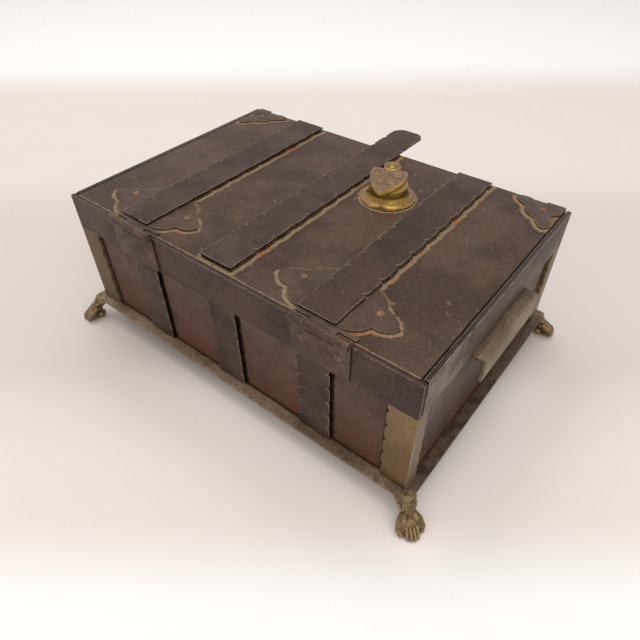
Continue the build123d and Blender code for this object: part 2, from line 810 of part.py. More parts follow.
for end, sign in end_signs.items():
    with BuildPart() as corner_plate:
        with BuildSketch(level(case_top)):
            with BuildLine():
                for flip in (False, True):
                    for lobe in corner_lobes:
                        ThreePointArc(*corner_arc(lobe, sign, flip))
                near, far = corner_lobes[-1][-1]
                ThreePointArc(*corner_arc([(near, far), (corner_bulge, corner_bulge), (far, near)], sign))
                near, far = corner_lobes[0][0]
                Polyline(*corner_arc([(near, far), (near, near), (far, near)], sign))
            make_face()
        extrude(amount=ornament_thickness)
        holes(level(case_top), corner_rivets, rivet_radius + rivet_play, ornament_thickness)
    save(corner_plate, f"{end}_corner_plate")

# Lid straps. The outer two are let over the ornament plate and the hinge leaf's tail;
# the middle one runs on past the front as a tongue to pull the lid up by.
for side in hinge_places:
    strap_x = lid_strap_places[side]
    length = strap_back_y + strap_front_y
    nicks = nick_places(lid_nick_starts[side], lid_nick_pitch, length)
    with BuildPart() as lid_strap:
        with BuildSketch(level(case_top)):
            with Locations((strap_x, -strap_back_y)):
                add(bar_outline(-lid_strap_half, lid_strap_half, length, nicks, nicks))
        extrude(amount=strap_thickness)
        across = lid_strap_half + edge_bow
        wing_top = wing_back_gap + wing_length * wing_lobes[0][0][1]
        block(
            level(case_top), strap_x - across, strap_x + across,
            -strap_back_y, -strap_back_y + wing_top, ornament_thickness, Mode.SUBTRACT,
        )
        notch = tail_half + leaf_tail_play
        block(
            level(case_top), strap_x - notch, strap_x + notch,
            -strap_back_y, tail_front + leaf_tail_play, hinge_leaf_thickness, Mode.SUBTRACT,
        )
        holes(level(case_top), lid_rivets, rivet_radius + rivet_play, rivet_depth)
    save(lid_strap, f"{side}_lid_strap")

with BuildPart() as pull_strap:
    length = strap_back_y + wall_y + pull_reach
    pull_margin = pull_corner_radius + nick_width
    nicks = nick_places(lid_nick_starts["middle"], lid_nick_pitch, length, pull_margin)
    with BuildSketch(level(case_top)) as pull_outline:
        with Locations((lid_strap_places["middle"], -strap_back_y)):
            add(bar_outline(-lid_strap_half, lid_strap_half, length, nicks, nicks))
        fillet(pull_outline.vertices().group_by(Axis.Y)[-1], pull_corner_radius)
    extrude(amount=strap_thickness)
    holes(level(case_top), lid_rivets, rivet_radius + rivet_play, rivet_depth)
save(pull_strap, "pull_strap")

lid_rivet = rivet(rivet_radius, lid_thickness + rivet_depth, rivet_head_radius, rivet_head_height)
with BuildPart() as lid_strap_rivets:
    place_all(lid_rivet, level(lid_bottom), lid_rivets)
save(lid_strap_rivets, "lid_strap_rivets")

# Ornament rivets, with domed heads above and spread ends under the lid
ornament_rivet = rivet(
    rivet_radius, ornament_thickness + lid_thickness, ornament_rivet_radius, ornament_rivet_dome
)
spread_end = rivet(rivet_radius, lid_thickness, ornament_rivet_radius, ornament_rivet_dome)
with BuildPart() as ornament_rivets:
    places = wing_rivets + corner_rivets
    flipped = [(x, -y) for x, y in places]
    place_all(ornament_rivet, level(case_top + ornament_thickness, -1), flipped)
    place_all(spread_end, level(lid_bottom), places)
save(ornament_rivets, "ornament_rivets")

# Lock boss: flange, concave cone and drum, an ear for the cover's pivot, and a spigot
# that passes through the lid to its ring nut
lock_plane = Plane(origin=(lock_x, case_y + lock_y, case_top))
pivot_place = (pivot_x, pivot_y)
with BuildPart() as lock_boss:
    with BuildSketch(Plane(lock_plane.origin, x_dir=(1, 0, 0), z_dir=(0, -1, 0))):
        with BuildLine():
            cone_foot = boss_flange_radius - boss_rim_width
            bottom = -lid_thickness - boss_nut_height
            Polyline(
                (0, boss_height), (0, bottom), (boss_spigot_radius, bottom),
                (boss_spigot_radius, 0), (boss_flange_radius, 0),
                (boss_flange_radius, boss_rim_height), (cone_foot, boss_rim_height),
            )
            ThreePointArc(
                (cone_foot, boss_rim_height),
                ((cone_foot + boss_radius) / 2 - 0.6, (boss_rim_height + boss_cone_height) / 2 - 0.8),
                (boss_radius, boss_cone_height),
            )
            Polyline((boss_radius, boss_cone_height), (boss_radius, boss_height), (0, boss_height))
        make_face()
    revolve(axis=Axis((lock_x, case_y + lock_y, 0), (0, 0, 1)))
    with BuildSketch(lock_plane.offset(boss_height)):
        Circle(boss_radius)
        with Locations(pivot_place):
            Circle(cover_eye_radius)
        make_hull()
    extrude(amount=-boss_ear_height)
    holes(lock_plane.offset(boss_height), [pivot_place], pivot_radius, -boss_ear_height)
    holes(lock_plane.offset(boss_height), [(0, 0)], plug_radius + plug_play, bottom - boss_height)
save(lock_boss, "lock_boss")

with BuildPart() as boss_nut:
    with BuildSketch(level(lid_bottom)):
        with Locations((lock_x, lock_y)):
            Circle(boss_nut_radius)
            flat = 2 * (boss_nut_radius - boss_nut_flat_depth)
            Rectangle(2 * boss_nut_radius, flat, mode=Mode.INTERSECT)
            Circle(boss_spigot_radius + boss_spigot_play, mode=Mode.SUBTRACT)
    extrude(amount=-boss_nut_height)
save(boss_nut, "boss_nut")

# Cover plate: a shield with an eye at its top, round the pivot. Local Y runs from the
# pivot down the shield.
cover_bottom = case_top + boss_height + cover_gap
cover_turn = radians(cover_angle)
cover_shoulder = cover_length * cover_shoulder_share
cover_plane = Plane(
    origin=(lock_x + pivot_x, case_y + lock_y + pivot_y, cover_bottom),
    x_dir=(-cos(cover_turn), -sin(cover_turn), 0),
)
with BuildPart() as keyhole_cover:
    with BuildSketch(cover_plane) as shield:
        with BuildLine():
            for s in (-1, 1):
                for arc in (cover_side, cover_tip):
                    ThreePointArc(
                        *[(s * cover_half_width * u, cover_length * v) for u, v in arc]
                    )
            top_half = cover_half_width * cover_side[0][0]
            Line((-top_half, cover_shoulder), (top_half, cover_shoulder))
        make_face()
        fillet(shield.vertices().filter_by(lambda v: v.Y < cover_shoulder + 1), cover_corner_radius)
        fillet(shield.vertices().sort_by(Axis.Y)[-1:], cover_corner_radius)
        Circle(cover_eye_radius)
    extrude(amount=cover_thickness)
    with BuildSketch(cover_plane.offset(cover_thickness)):
        Circle(cover_eye_radius)
    extrude(amount=cover_collar_height)
    with BuildSketch(cover_plane.offset(cover_thickness + cover_collar_height)):
        Circle(cover_eye_radius - cover_collar_wall)
    extrude(amount=-cover_collar_height, mode=Mode.SUBTRACT)
    with BuildSketch(cover_plane.offset(cover_thickness)):
        add(shield.sketch_local, mode=Mode.ADD)
        offset(amount=-cover_field_margin)
        Circle(cover_eye_radius + cover_field_margin / 2, mode=Mode.SUBTRACT)
    extrude(amount=-cover_field_depth, mode=Mode.SUBTRACT)
    holes(cover_plane, [(0, 0)], pivot_radius + pivot_play, cover_thickness + cover_collar_height)
save(keyhole_cover, "keyhole_cover")

# Pivot of the cover, riveted into the ear: a head above the cover, a spread end below
pivot_top = cover_thickness + pivot_head_gap
pivot_length = pivot_top + cover_gap + boss_ear_height
with BuildPart() as cover_pivot:
    down = Plane(cover_plane.offset(pivot_top).origin, z_dir=(0, 0, -1))
    place_all(rivet(pivot_radius, pivot_length, pivot_head_radius, pivot_head_height), down, [(0, 0)])
    up = cover_plane.offset(pivot_top - pivot_length)
    place_all(rivet(pivot_radius, boss_ear_height, pivot_head_radius, pivot_head_height), up, [(0, 0)])
save(cover_pivot, "cover_pivot")

# Plug of the lock, with its keyhole, a square for the pinion and a pivot in the floor
plug_top = case_top + boss_height - plug_top_gap
plug_shoulder = lid_bottom - boss_nut_height
with BuildPart() as lock_plug:
    with BuildSketch(level(plug_top)):
        with Locations((lock_x, lock_y)):
            Circle(plug_radius)
    extrude(amount=plug_shoulder - plug_top)
    with BuildSketch(level(plug_shoulder)):
        with Locations((lock_x, lock_y)):
            Rectangle(plug_square, plug_square)
    extrude(amount=pinion_bottom - plug_shoulder)
    with BuildSketch(level(pinion_bottom)):
        with Locations((lock_x, lock_y)):
            Circle(plug_tail_radius)
    extrude(amount=lock_floor_bottom - plug_tail_end - pinion_bottom)
    with BuildSketch(level(plug_top)):
        with Locations((lock_x, lock_y)):
            Circle(keyhole_radius)
            with Locations((0, -keyhole_reach / 2)):
                Rectangle(keyhole_width, keyhole_reach)
    extrude(amount=-keyhole_depth, mode=Mode.SUBTRACT)
save(lock_plug, "lock_plug")


def involute(angle):
    """The involute of a roll angle in radians: its turn from the base circle's start."""
    return tan(angle) - angle


def flank_point(radius, side):
    """A point on one flank of the tooth that is centred on local X."""
    pressed = acos(pinion_base_radius / radius)
    half = (tooth_pitch - tooth_backlash) / (4 * pinion_pitch_radius)
    turn = side * (half + involute(radians(pressure_angle)) - involute(pressed))
    return (radius * cos(turn), radius * sin(turn))


flank_steps = 4


def tooth_outline():
    """One tooth of the pinion, centred on local X, from inside the root circle to its tip."""
    rise = pinion_tip_radius - pinion_base_radius
    radii = [pinion_base_radius + rise * i / flank_steps for i in range(flank_steps + 1)]
    tooth_root = pinion_root_radius / 2
    with BuildSketch() as tooth:
        with BuildLine():
            for side in (-1, 1):
                flank = [flank_point(radius, side) for radius in radii]
                Spline(*flank)
                Line((tooth_root, flank[0][1]), flank[0])
            ThreePointArc(
                flank_point(pinion_tip_radius, -1), (pinion_tip_radius, 0),
                flank_point(pinion_tip_radius, 1),
            )
            low = flank_point(pinion_base_radius, 1)[1]
            Line((tooth_root, low), (tooth_root, -low))
        make_face()
    return tooth.sketch


# Pinion on the square of the plug, one tooth towards the rack when it is at rest
with BuildPart() as lock_pinion:
    with BuildSketch(level(pinion_bottom)):
        with Locations((lock_x, lock_y)):
            Circle(pinion_root_radius)
            with PolarLocations(0, pinion_teeth):
                add(tooth_outline())
            bore = plug_square + 2 * plug_play
            Rectangle(bore, bore, mode=Mode.SUBTRACT)
    extrude(amount=pinion_thickness)
save(lock_pinion, "lock_pinion")

# Bolt, a bar with a rack on the pinion's side
with BuildPart() as bolt:
    with BuildSketch(level(bolt_bottom)):
        with Locations((bolt_x, (bolt_tail_y + bolt_tip_y) / 2)):
            Rectangle(bolt_width, bolt_tip_y - bolt_tail_y)
        lean = tan(radians(pressure_angle))
        half = (tooth_pitch - tooth_backlash) / 4
        tip_half = half - rack_addendum * lean
        root_half = half + (rack_root_x - lock_x - pinion_pitch_radius) * lean
        for tooth in range(rack_teeth):
            y = lock_y + (0.5 - tooth) * tooth_pitch
            with BuildLine():
                Polyline(
                    (rack_root_x, y - root_half), (rack_tip_x, y - tip_half),
                    (rack_tip_x, y + tip_half), (rack_root_x, y + root_half), close=True,
                )
            make_face()
    extrude(amount=bolt_height)
save(bolt, "bolt")

# Case of the lock: a tray with an ear on each side, open for the bolt at its front
with BuildPart() as lock_case:
    under = level(lid_bottom)
    wall = lock_case_wall
    depth = lid_bottom - lock_floor_bottom
    block(under, lock_left - wall, lock_right + wall, lock_back - wall, lock_front + wall, -depth)
    block(
        under, lock_left - wall - lock_ear_width, lock_right + wall + lock_ear_width,
        lock_back - wall, lock_front + wall, -wall,
    )
    block(
        under, lock_left, lock_right, lock_back, lock_front,
        lock_floor_top - lid_bottom, Mode.SUBTRACT,
    )
    side_play = bolt_width / 2 + bolt_play
    block(
        under, bolt_x - side_play, bolt_x + side_play, lock_front, lock_front + wall,
        lock_floor_top - lid_bottom, Mode.SUBTRACT,
    )
    tail_hole = plug_tail_radius + plug_play
    holes(level(lock_floor_top), [(lock_x, lock_y)], tail_hole, -wall)
    holes(under, lock_case_rivet_places, rivet_radius + rivet_play, -wall)
save(lock_case, "lock_case")

lock_rivet = rivet(rivet_radius, lock_case_wall + lid_thickness, rivet_head_radius, rivet_head_height)
with BuildPart() as lock_case_rivets:
    place_all(lock_rivet, level(lid_bottom - lock_case_wall), lock_case_rivet_places)
save(lock_case_rivets, "lock_case_rivets")

# Box staple on the front panel, with an ear on each side
with BuildPart() as bolt_staple:
    inside = wall_plane(inner_y, 1)
    half_width = bolt_width / 2 + strike_bolt_clearance
    half_height = bolt_height / 2 + strike_bolt_clearance
    outer_width = half_width + strike_wall
    outer_height = half_height + strike_wall
    block(
        inside, -bolt_x - outer_width, -bolt_x + outer_width,
        bolt_z - outer_height, bolt_z + outer_height, -strike_depth,
    )
    block(
        inside, -bolt_x - outer_width - strike_ear_width, -bolt_x + outer_width + strike_ear_width,
        bolt_z - outer_height, bolt_z + outer_height, -strike_wall,
    )
    block(
        inside, -bolt_x - half_width, -bolt_x + half_width,
        bolt_z - half_height, bolt_z + half_height, -strike_depth, Mode.SUBTRACT,
    )
    holes(inside, strike_rivets(1), rivet_radius + rivet_play, -strike_wall)
save(bolt_staple, "bolt_staple")

staple_rivet = rivet(
    rivet_radius, strike_wall + panel_thickness + rivet_depth, rivet_head_radius, rivet_head_height
)
with BuildPart() as staple_rivets:
    place_all(staple_rivet, wall_plane(inner_y - strike_wall, 1), strike_rivets(1))
save(staple_rivets, "staple_rivets")
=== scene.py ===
# %% [markdown]
# # An iron strongbox with brass corners
#
# This lesson dresses a small iron strongbox. Its exact shapes come from the CAD model,
# which is loaded as a frame that never moves. Every piece made here sits on that frame,
# rides on one of its moving bodies, and gets a finish of old iron, brass or copper.

# %% Load the frame
import json
from math import cos, floor, pi, radians, sin

import bmesh
import bpy
import numpy as np
from mathutils import Matrix, Vector
from mathutils.kdtree import KDTree


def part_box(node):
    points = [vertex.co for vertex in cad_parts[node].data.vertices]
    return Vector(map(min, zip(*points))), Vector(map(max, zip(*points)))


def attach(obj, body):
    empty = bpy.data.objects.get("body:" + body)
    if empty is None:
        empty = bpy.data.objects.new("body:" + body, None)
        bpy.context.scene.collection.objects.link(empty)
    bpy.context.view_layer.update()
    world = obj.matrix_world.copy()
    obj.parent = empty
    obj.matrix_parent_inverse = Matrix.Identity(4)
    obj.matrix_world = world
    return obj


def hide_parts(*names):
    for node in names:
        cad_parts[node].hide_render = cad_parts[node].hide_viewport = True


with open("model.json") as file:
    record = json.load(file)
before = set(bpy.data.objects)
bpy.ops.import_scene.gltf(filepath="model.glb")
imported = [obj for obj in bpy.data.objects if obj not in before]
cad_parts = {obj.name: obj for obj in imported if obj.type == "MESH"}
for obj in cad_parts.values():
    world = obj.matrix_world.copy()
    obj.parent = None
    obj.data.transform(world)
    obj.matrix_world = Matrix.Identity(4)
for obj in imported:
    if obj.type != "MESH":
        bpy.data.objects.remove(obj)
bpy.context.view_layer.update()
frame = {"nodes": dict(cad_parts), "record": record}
mm = 0.001
body_of_node = {
    node: body
    for body, nodes in frame["record"]["behaviour"]["bodies"].items()
    for node in nodes
}
slot_of_node = {part["node"]: part["material_slot"] for part in frame["record"]["subparts"]}
walls = {"back": -1, "front": 1}
ends = {"left": -1, "right": 1}


def span(letter, first, last=None):
    """Where a CAD node starts and where it, or another one, ends along an axis."""
    axis = "XYZ".index(letter)
    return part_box(first)[0][axis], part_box(last or first)[1][axis]


# %% [markdown]
# ## Camera
#
# The camera was solved from the straight edges of the box in the photograph, so its
# place and turn are written down as they came out, not found by eye.

# %% Place the camera
camera_place = Vector((220.177, -278.524, 329.636)) * mm
camera_right = Vector((0.78491794, 0.61957005, -0.00606434))
camera_down = Vector((0.41900027, -0.53798045, -0.73144775))
camera_ahead = Vector((-0.45644561, 0.5715855, -0.68187053))
camera_data = bpy.data.cameras.new("camera")
camera_data.sensor_width = 36
camera_data.lens = 30.52
camera_data.clip_start = 0.01
camera = bpy.data.objects.new("camera", camera_data)
camera_turn = Matrix((camera_right, -camera_down, -camera_ahead)).transposed()
camera.matrix_world = Matrix.Translation(camera_place) @ camera_turn.to_4x4()
bpy.context.collection.objects.link(camera)
bpy.context.scene.camera = camera
print("camera is", round(camera_place.length, 3), "m from the middle of the floor")

# %% [markdown]
# ## Wiring
#
# Materials and Geometry Nodes are both trees of small steps. Two short helpers write
# them as plain sums. Wiring adds a node, sets its constants and links what comes from
# other nodes. An Amount is what flows out of a node, and arithmetic with it adds the Math
# nodes that work it out.

# %% Helpers that wire node trees
class Amount:
    """What flows from a socket. Calculating with it adds Math nodes to its tree."""

    def __init__(self, wiring, socket):
        self.wiring = wiring
        self.socket = socket


def calculation(operation, swapped=False):
    """A method of an amount that adds one Math node, with swapped values if asked."""
    def method(self, *others):
        values = (*others, self) if swapped else (self, *others)
        return self.wiring.math(operation, *values)
    return method


for name, operation in {
    "__add__": "ADD", "__sub__": "SUBTRACT", "__mul__": "MULTIPLY", "__truediv__": "DIVIDE",
    "__pow__": "POWER", "__lt__": "LESS_THAN", "__gt__": "GREATER_THAN",
    "__abs__": "ABSOLUTE", "at_least": "MAXIMUM", "at_most": "MINIMUM",
}.items():
    setattr(Amount, name, calculation(operation))
Amount.__rsub__ = calculation("SUBTRACT", swapped=True)


class Wiring:
    """Adds nodes to a tree: a socket among the inputs is linked, and a value is set."""

    def __init__(self, tree):
        self.tree = tree

    def node(self, kind, inputs=(), **settings):
        node = self.tree.nodes.new(kind)
        for name, value in settings.items():
            setattr(node, name, value)
        pairs = inputs.items() if isinstance(inputs, dict) else enumerate(inputs)
        for key, value in pairs:
            if isinstance(value, Amount):
                value = value.socket
            if isinstance(value, bpy.types.NodeSocket):
                self.tree.links.new(value, node.inputs[key])
            else:
                node.inputs[key].default_value = value
        return node

    def output(self, kind, inputs=(), **settings):
        """What the first socket of a new node gives."""
        return Amount(self, self.node(kind, inputs, **settings).outputs[0])

    def math(self, operation, *values):
        return self.output("ShaderNodeMath", values, operation=operation)

    def ease(self, value, low, high):
        """0 below low, 1 above high, and a smooth step between them."""
        ranges = {"Value": value, "From Min": low, "From Max": high}
        return self.output("ShaderNodeMapRange", ranges, interpolation_type="SMOOTHSTEP")

    def vector(self, *parts):
        return self.output("ShaderNodeCombineXYZ", parts)

    def parts(self, vector):
        """The three numbers of a vector."""
        sockets = self.node("ShaderNodeSeparateXYZ", [vector]).outputs
        return [Amount(self, socket) for socket in sockets]


# %% [markdown]
# ## Finishes
#
# Old metal is never one colour. Each finish starts from a dark and a light tone that
# drift into each other, and stains are laid over them one at a time. Noise on Object
# coordinates does both, so no picture is needed and the pattern stays on the metal when
# a piece moves. Roughness is broken up by noise as well, and a fine grain roughens the
# colour and the bump.

# %% A finish of aged metal
class Finish(Wiring):
    """A metal material that grows one stain at a time.

    Clouds is the scale of the drift between dark and light, and drift is its softness.
    """

    def __init__(self, name, dark, light, metallic, roughness, clouds=45, drift=0.14, gleam=0.2):
        self.material = bpy.data.materials.new(name)
        self.material.use_nodes = True
        super().__init__(self.material.node_tree)
        self.tree.nodes.clear()
        self.skin = {"Metallic": metallic, "Specular IOR Level": gleam}
        self.place = self.node("ShaderNodeTexCoord").outputs["Object"]
        share = self.ease(self.noise(clouds, 6), 0.5 - drift, 0.5 + drift)
        self.colour = self.blend(share, dark, light)
        self.dullness = self.noise(clouds * 2.7, 5) * 0.24 + (roughness - 0.12)
        self.height = self.noise(900, 4)

    def noise(self, scale, detail=4, stretch=(1, 1, 1)):
        place = self.output("ShaderNodeMapping", {"Vector": self.place, "Scale": stretch})
        inputs = {"Vector": place, "Scale": scale, "Detail": detail, "Roughness": 0.62}
        return self.output("ShaderNodeTexNoise", inputs)

    def blend(self, share, *tones):
        """A colour between two tones, each a socket or three thousandths."""
        colours = {0: share}
        for key, tone in zip((6, 7), tones):
            if isinstance(tone, tuple):
                tone = (*(part / 1000 for part in tone), 1)
            colours[key] = tone
        return self.node("ShaderNodeMix", colours, data_type="RGBA").outputs[2]

    def mark(self, name):
        """A mark that was painted on the mesh, as a number from 0 to 1."""
        reader = self.node("ShaderNodeAttribute", attribute_name=name)
        return Amount(self, reader.outputs["Fac"])

    def axis(self, letter):
        return self.parts(self.place)["XYZ".index(letter)]

    def stain(self, colour, mask, strength=1.0, dull=0.0):
        """Lays a colour where the mask is, and makes the skin duller or shinier there."""
        share = mask * strength
        self.colour = self.blend(share, self.colour, colour)
        if dull:
            self.dullness += share * dull
        return self

    def spots(self, colour, scale, low, high, strength=1.0, dull=0.0, stretch=(1, 1, 1)):
        """A stain wherever noise rises from low to high."""
        mask = self.ease(self.noise(scale, 5, stretch), low, high)
        return self.stain(colour, mask, strength, dull)

    def beside(self, letter, spans, reach):
        """1 under the given spans of an axis and up to a ragged reach beside them."""
        place = self.axis(letter)
        nearest = 1.0
        for low, high in spans:
            off = abs(place - (low + high) / 2) - (high - low) / 2
            nearest = off.at_most(nearest)
        ragged = (self.noise(240, 4) - 0.5) * (reach * 1.6)
        return self.ease(nearest + ragged, reach, reach * 0.55)

    def done(self, bump=0.35, depth=0.12, grain=0.34):
        """Wires colour, roughness and bump to the shader and returns the material."""
        fine = {"Value": self.noise(620, 5), "From Min": 0.34, "From Max": 0.66}
        fine.update({"To Min": 1.0 - grain, "To Max": 1.0 + grain})
        mixed = {0: 1.0, 6: self.colour, 7: self.output("ShaderNodeMapRange", fine)}
        grained = self.node("ShaderNodeMix", mixed, data_type="RGBA", blend_type="MULTIPLY")
        relief = {"Height": self.height, "Strength": bump, "Distance": depth * mm}
        skin = self.output("ShaderNodeBsdfPrincipled", {
            "Base Color": grained.outputs[2], "Normal": self.output("ShaderNodeBump", relief),
            "Roughness": self.output("ShaderNodeClamp", [self.dullness, 0.12, 1.0]),
            **self.skin,
        })
        self.node("ShaderNodeOutputMaterial", {"Surface": skin})
        return self.material


# %% [markdown]
# ## Iron
#
# The sheets and bars were blackened and have browned since. The lid is the most mottled,
# the back wall turns red towards the floor, the end wall darker, and both turn orange at
# their foot, where damp sits. The bars and sheets on the ends are lighter and greyer: a
# painted reflection. Black shadow and shade are painted where sheets and bars meet,
# under the curled edges of the straps, and in and beside the gaps of the rim.

# %% Iron finishes
dust_tan = (290, 195, 108)
dust_orange = (330, 150, 60)
rust_orange = (170, 70, 30)
rust_red = (80, 34, 24)
# The next three tones are painted shade and shadow, laid in gaps, joints, creases and under the
# straps' curls.
painted_shade_dark = (20, 12, 8)
painted_gap_shade = (12, 7, 5)
joint_shade_black = (6, 4, 3)

lid = Finish("lid iron", (50, 27, 17), (84, 48, 30), 0.15, 0.52, 20, 0.1)
lid.spots((112, 74, 50), 11, 0.46, 0.68, 0.5)
lid.spots(rust_red, 22, 0.54, 0.68, 0.4)
lid.spots((30, 18, 14), 46, 0.58, 0.74, 0.3)
lid.spots((26, 15, 11), 240, 0.61, 0.72, 0.4)
lid.spots((230, 140, 80), 170, 0.655, 0.7, 0.7, 0.1)
lid.spots((200, 150, 105), 560, 0.66, 0.76, 0.35)
ragged_dust = lid.mark("dust") + (lid.noise(260, 5) - 0.5) * 1.2
dust_tone = lid.blend(lid.ease(lid.noise(34, 3), 0.54, 0.64), dust_tan, dust_orange)
lid.stain(dust_tone, lid.ease(ragged_dust, 0.26, 0.74), 0.85, 0.25)
# Painted shadow: the sheet turns black close to the right side of the straps, where their shadow
# falls.
lid.stain((10, 6, 4), lid.ease(lid.mark("contact"), 0.3, 0.65), 0.95)
# Painted shade: the lid's ends turn nearly black, so the gaps between them and the rim look dark.
lid_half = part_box("lid_plate")[1][0]
lid_end_shade = lid.ease(abs(lid.axis("X")), lid_half - 0.7 * mm, lid_half - 0.3 * mm)
lid.stain(painted_shade_dark, lid_end_shade, 0.9)
lid_iron = lid.done(0.35, 0.1)

walls_span = {
    "X": span("X", "left_panel", "right_panel"), "Y": span("Y", "back_panel", "front_panel"),
}
wall_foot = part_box("back_panel")[0][2]


def wall_sheet(name, dark, light, low, turn, letter, bars):
    """Sheet iron of one tone above the turn and another below, with painted shadow beside its bars
    and painted shade at its foot.
    """
    sheet = Finish(name, dark, light, 0.15, 0.55, 34, 0.18)
    height = sheet.axis("Z")
    wavy = height + (sheet.noise(40) - 0.5) * (30 * mm)
    sheet.stain(low, sheet.ease(wavy, turn, wall_foot + 21.5 * mm), 0.85)
    sheet.spots(rust_red, 26, 0.5, 0.66, 0.45)
    sheet.spots((30, 19, 16), 52, 0.6, 0.72, 0.5)
    sheet.spots((150, 85, 60), 150, 0.6, 0.72, 0.35, stretch=(1, 1, 0.12))
    rusted = sheet.ease(wavy, wall_foot + 13.5 * mm, wall_foot + 1.5 * mm)
    sheet.stain((130, 56, 26), rusted, 0.75, 0.2)
    # Painted shade: a dark line along the foot, where the wall meets the base plate.
    painted_foot_shade = sheet.ease(height, wall_foot + 2.3 * mm, wall_foot + 0.5 * mm)
    sheet.stain(painted_shade_dark, painted_foot_shade, 0.9, 0.2)
    through = "Y" if letter == "X" else "X"
    low_face, high_face = walls_span[through]
    between_faces = [(low_face + 0.6 * mm, high_face - 0.6 * mm)]
    outside = 1 - sheet.beside(through, between_faces, 0.4 * mm)
    bar_spans = [span(letter, bar) for bar in bars]
    # Painted shadow: black on the outer face beside the bars, where their shadow falls.
    sheet.stain(painted_gap_shade, outside * sheet.beside(letter, bar_spans, 2.3 * mm), 0.97)
    return sheet.done()


wall_bars = [f"back_{place}_strap" for place in ("left", "middle", "right")]
wall_bars += [f"back_{end}_post" for end in ends]
wall_sheet(
    "panel iron", (80, 48, 37), (126, 78, 60), (100, 42, 27),
    85 * mm, "X", wall_bars,
)
# The end panel is paler and greyer than the back panel: a painted reflection. Below the turn it
# grows darker towards the bottom.
wall_sheet(
    "end panel iron", (72, 46, 37), (150, 108, 90), (46, 22, 13),
    88 * mm, "Y", ["back_right_post", "front_right_post"],
)

case_x, case_y = span("X", "back_band"), span("Y", "back_band", "front_band")
middle_y = sum(case_y) / 2
half_x, half_y = case_x[1], case_y[1] - middle_y

band = Finish("band iron", (48, 27, 21), (76, 44, 33), 0.2, 0.5, 30)
band.spots((100, 62, 45), 80, 0.58, 0.7, 0.5)
band.spots((26, 17, 15), 120, 0.62, 0.72, 0.5)
leaves = [span("X", f"{end}_hinge_body_leaf") for end in ends]
# Painted shadow: the back bar turns black in a thin line beside the hinge leaves.
on_back = band.ease(band.axis("Y"), middle_y + mm, middle_y - mm)
band.stain(painted_shade_dark, on_back * band.beside("X", leaves, 0.9 * mm), 0.9)
# Painted shade: the inner face of the bars and the inner part of their top turn black, where the
# gap under the lid looks in.
inner_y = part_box("front_band")[0][1] - middle_y
from_middle = abs(band.axis("Y") - middle_y)
band.stain(painted_shade_dark, band.ease(from_middle, inner_y + 1.5 * mm, inner_y + 0.9 * mm), 0.95)
band.done()

# Painted reflection: the end bars get a paler, greyer copy of the band iron, with pale streaks.
end_band_reflection = Finish("end band iron", (88, 60, 50), (180, 138, 116), 0.15, 0.5, 24, 0.16)
end_band_reflection.spots((58, 36, 29), 20, 0.47, 0.58, 0.8)
end_band_reflection.spots((230, 185, 160), 190, 0.56, 0.7, 0.6, stretch=(1, 1, 0.1))
end_band_reflection.spots((40, 26, 22), 150, 0.58, 0.68, 0.7, stretch=(1, 1, 0.2))
along_x = abs(end_band_reflection.axis("X"))
# Away from the outer face the bar keeps a dark brown, so the painted reflection stays on that
# face.
behind_face = end_band_reflection.ease(along_x, half_x - 0.25 * mm, half_x - 0.6 * mm)
end_band_reflection.stain((34, 21, 16), behind_face, 0.95)
# Painted shade: further in, the inside of the bar turns nearly black.
inside = end_band_reflection.ease(along_x, half_x - 1.4 * mm, half_x - 2.1 * mm)
end_band_reflection.stain(painted_shade_dark, inside, 0.95)
from_middle = abs(end_band_reflection.axis("Y") - middle_y)
# Painted shade: the outer face turns black close to its cut ends, so the joints look dark.
cut_ends = end_band_reflection.ease(from_middle, half_y - 1.1 * mm, half_y - 0.8 * mm)
end_band_reflection.stain(joint_shade_black, cut_ends)
shaded_front = end_band_reflection.ease(end_band_reflection.axis("Y"), -80 * mm, -35 * mm)
end_band_reflection.stain((50, 30, 24), shaded_front, 0.62)
end_band_reflection.done()

forged = Finish("strap iron", (40, 22, 16), (70, 41, 30), 0.15, 0.48, 26, 0.16, 0.14)
forged.spots((88, 58, 48), 14, 0.52, 0.66, 0.6)
forged.spots((32, 21, 17), 70, 0.56, 0.7, 0.5)
forged.spots((150, 95, 64), 230, 0.655, 0.71, 0.5)
lid_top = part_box("lid_plate")[1][2]
height = forged.axis("Z")
underside = forged.ease(height, lid_top - 0.1 * mm, lid_top - 0.05 * mm)
underside *= forged.ease(height, lid_top + 0.08 * mm, lid_top + 0.03 * mm)
shown_side = 1 - underside
rubbed = forged.mark("edge") * forged.ease(forged.noise(110, 5), 0.34, 0.54)
forged.stain((215, 160, 122), rubbed, 0.8, -0.05)
# Painted shade: the undersides of the curled edges turn black, so the gaps under them look dark.
shade_under_curl = shown_side * forged.ease(forged.mark("under"), 0.01, 0.12)
forged.stain(painted_gap_shade, shade_under_curl, 0.98)
nicks = shown_side * forged.ease(forged.mark("nick"), 0.35, 0.8)
forged.stain(dust_tan, nicks, 0.6)
strap_iron = forged.done(0.4, 0.13)

base = Finish("base iron", (150, 98, 62), (280, 195, 130), 0.25, 0.52, 34, 0.18)
base.spots((45, 28, 20), 46, 0.54, 0.68, 0.7)
base.spots(rust_orange, 110, 0.6, 0.7, 0.5, 0.1)
base_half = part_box("base_plate")[1][1] - middle_y
from_middle = abs(base.axis("Y") - middle_y)
short_of_corner = base.ease(from_middle, base_half - 0.5 * mm, base_half - 18.5 * mm)
beyond_ends = (1 - base.beside("X", [walls_span["X"]], 1.5 * mm)) * short_of_corner
base.stain((72, 42, 27), beyond_ends, 0.75)
base.stain((38, 22, 15), beyond_ends * base.ease(base.noise(70), 0.5, 0.62), 0.8)
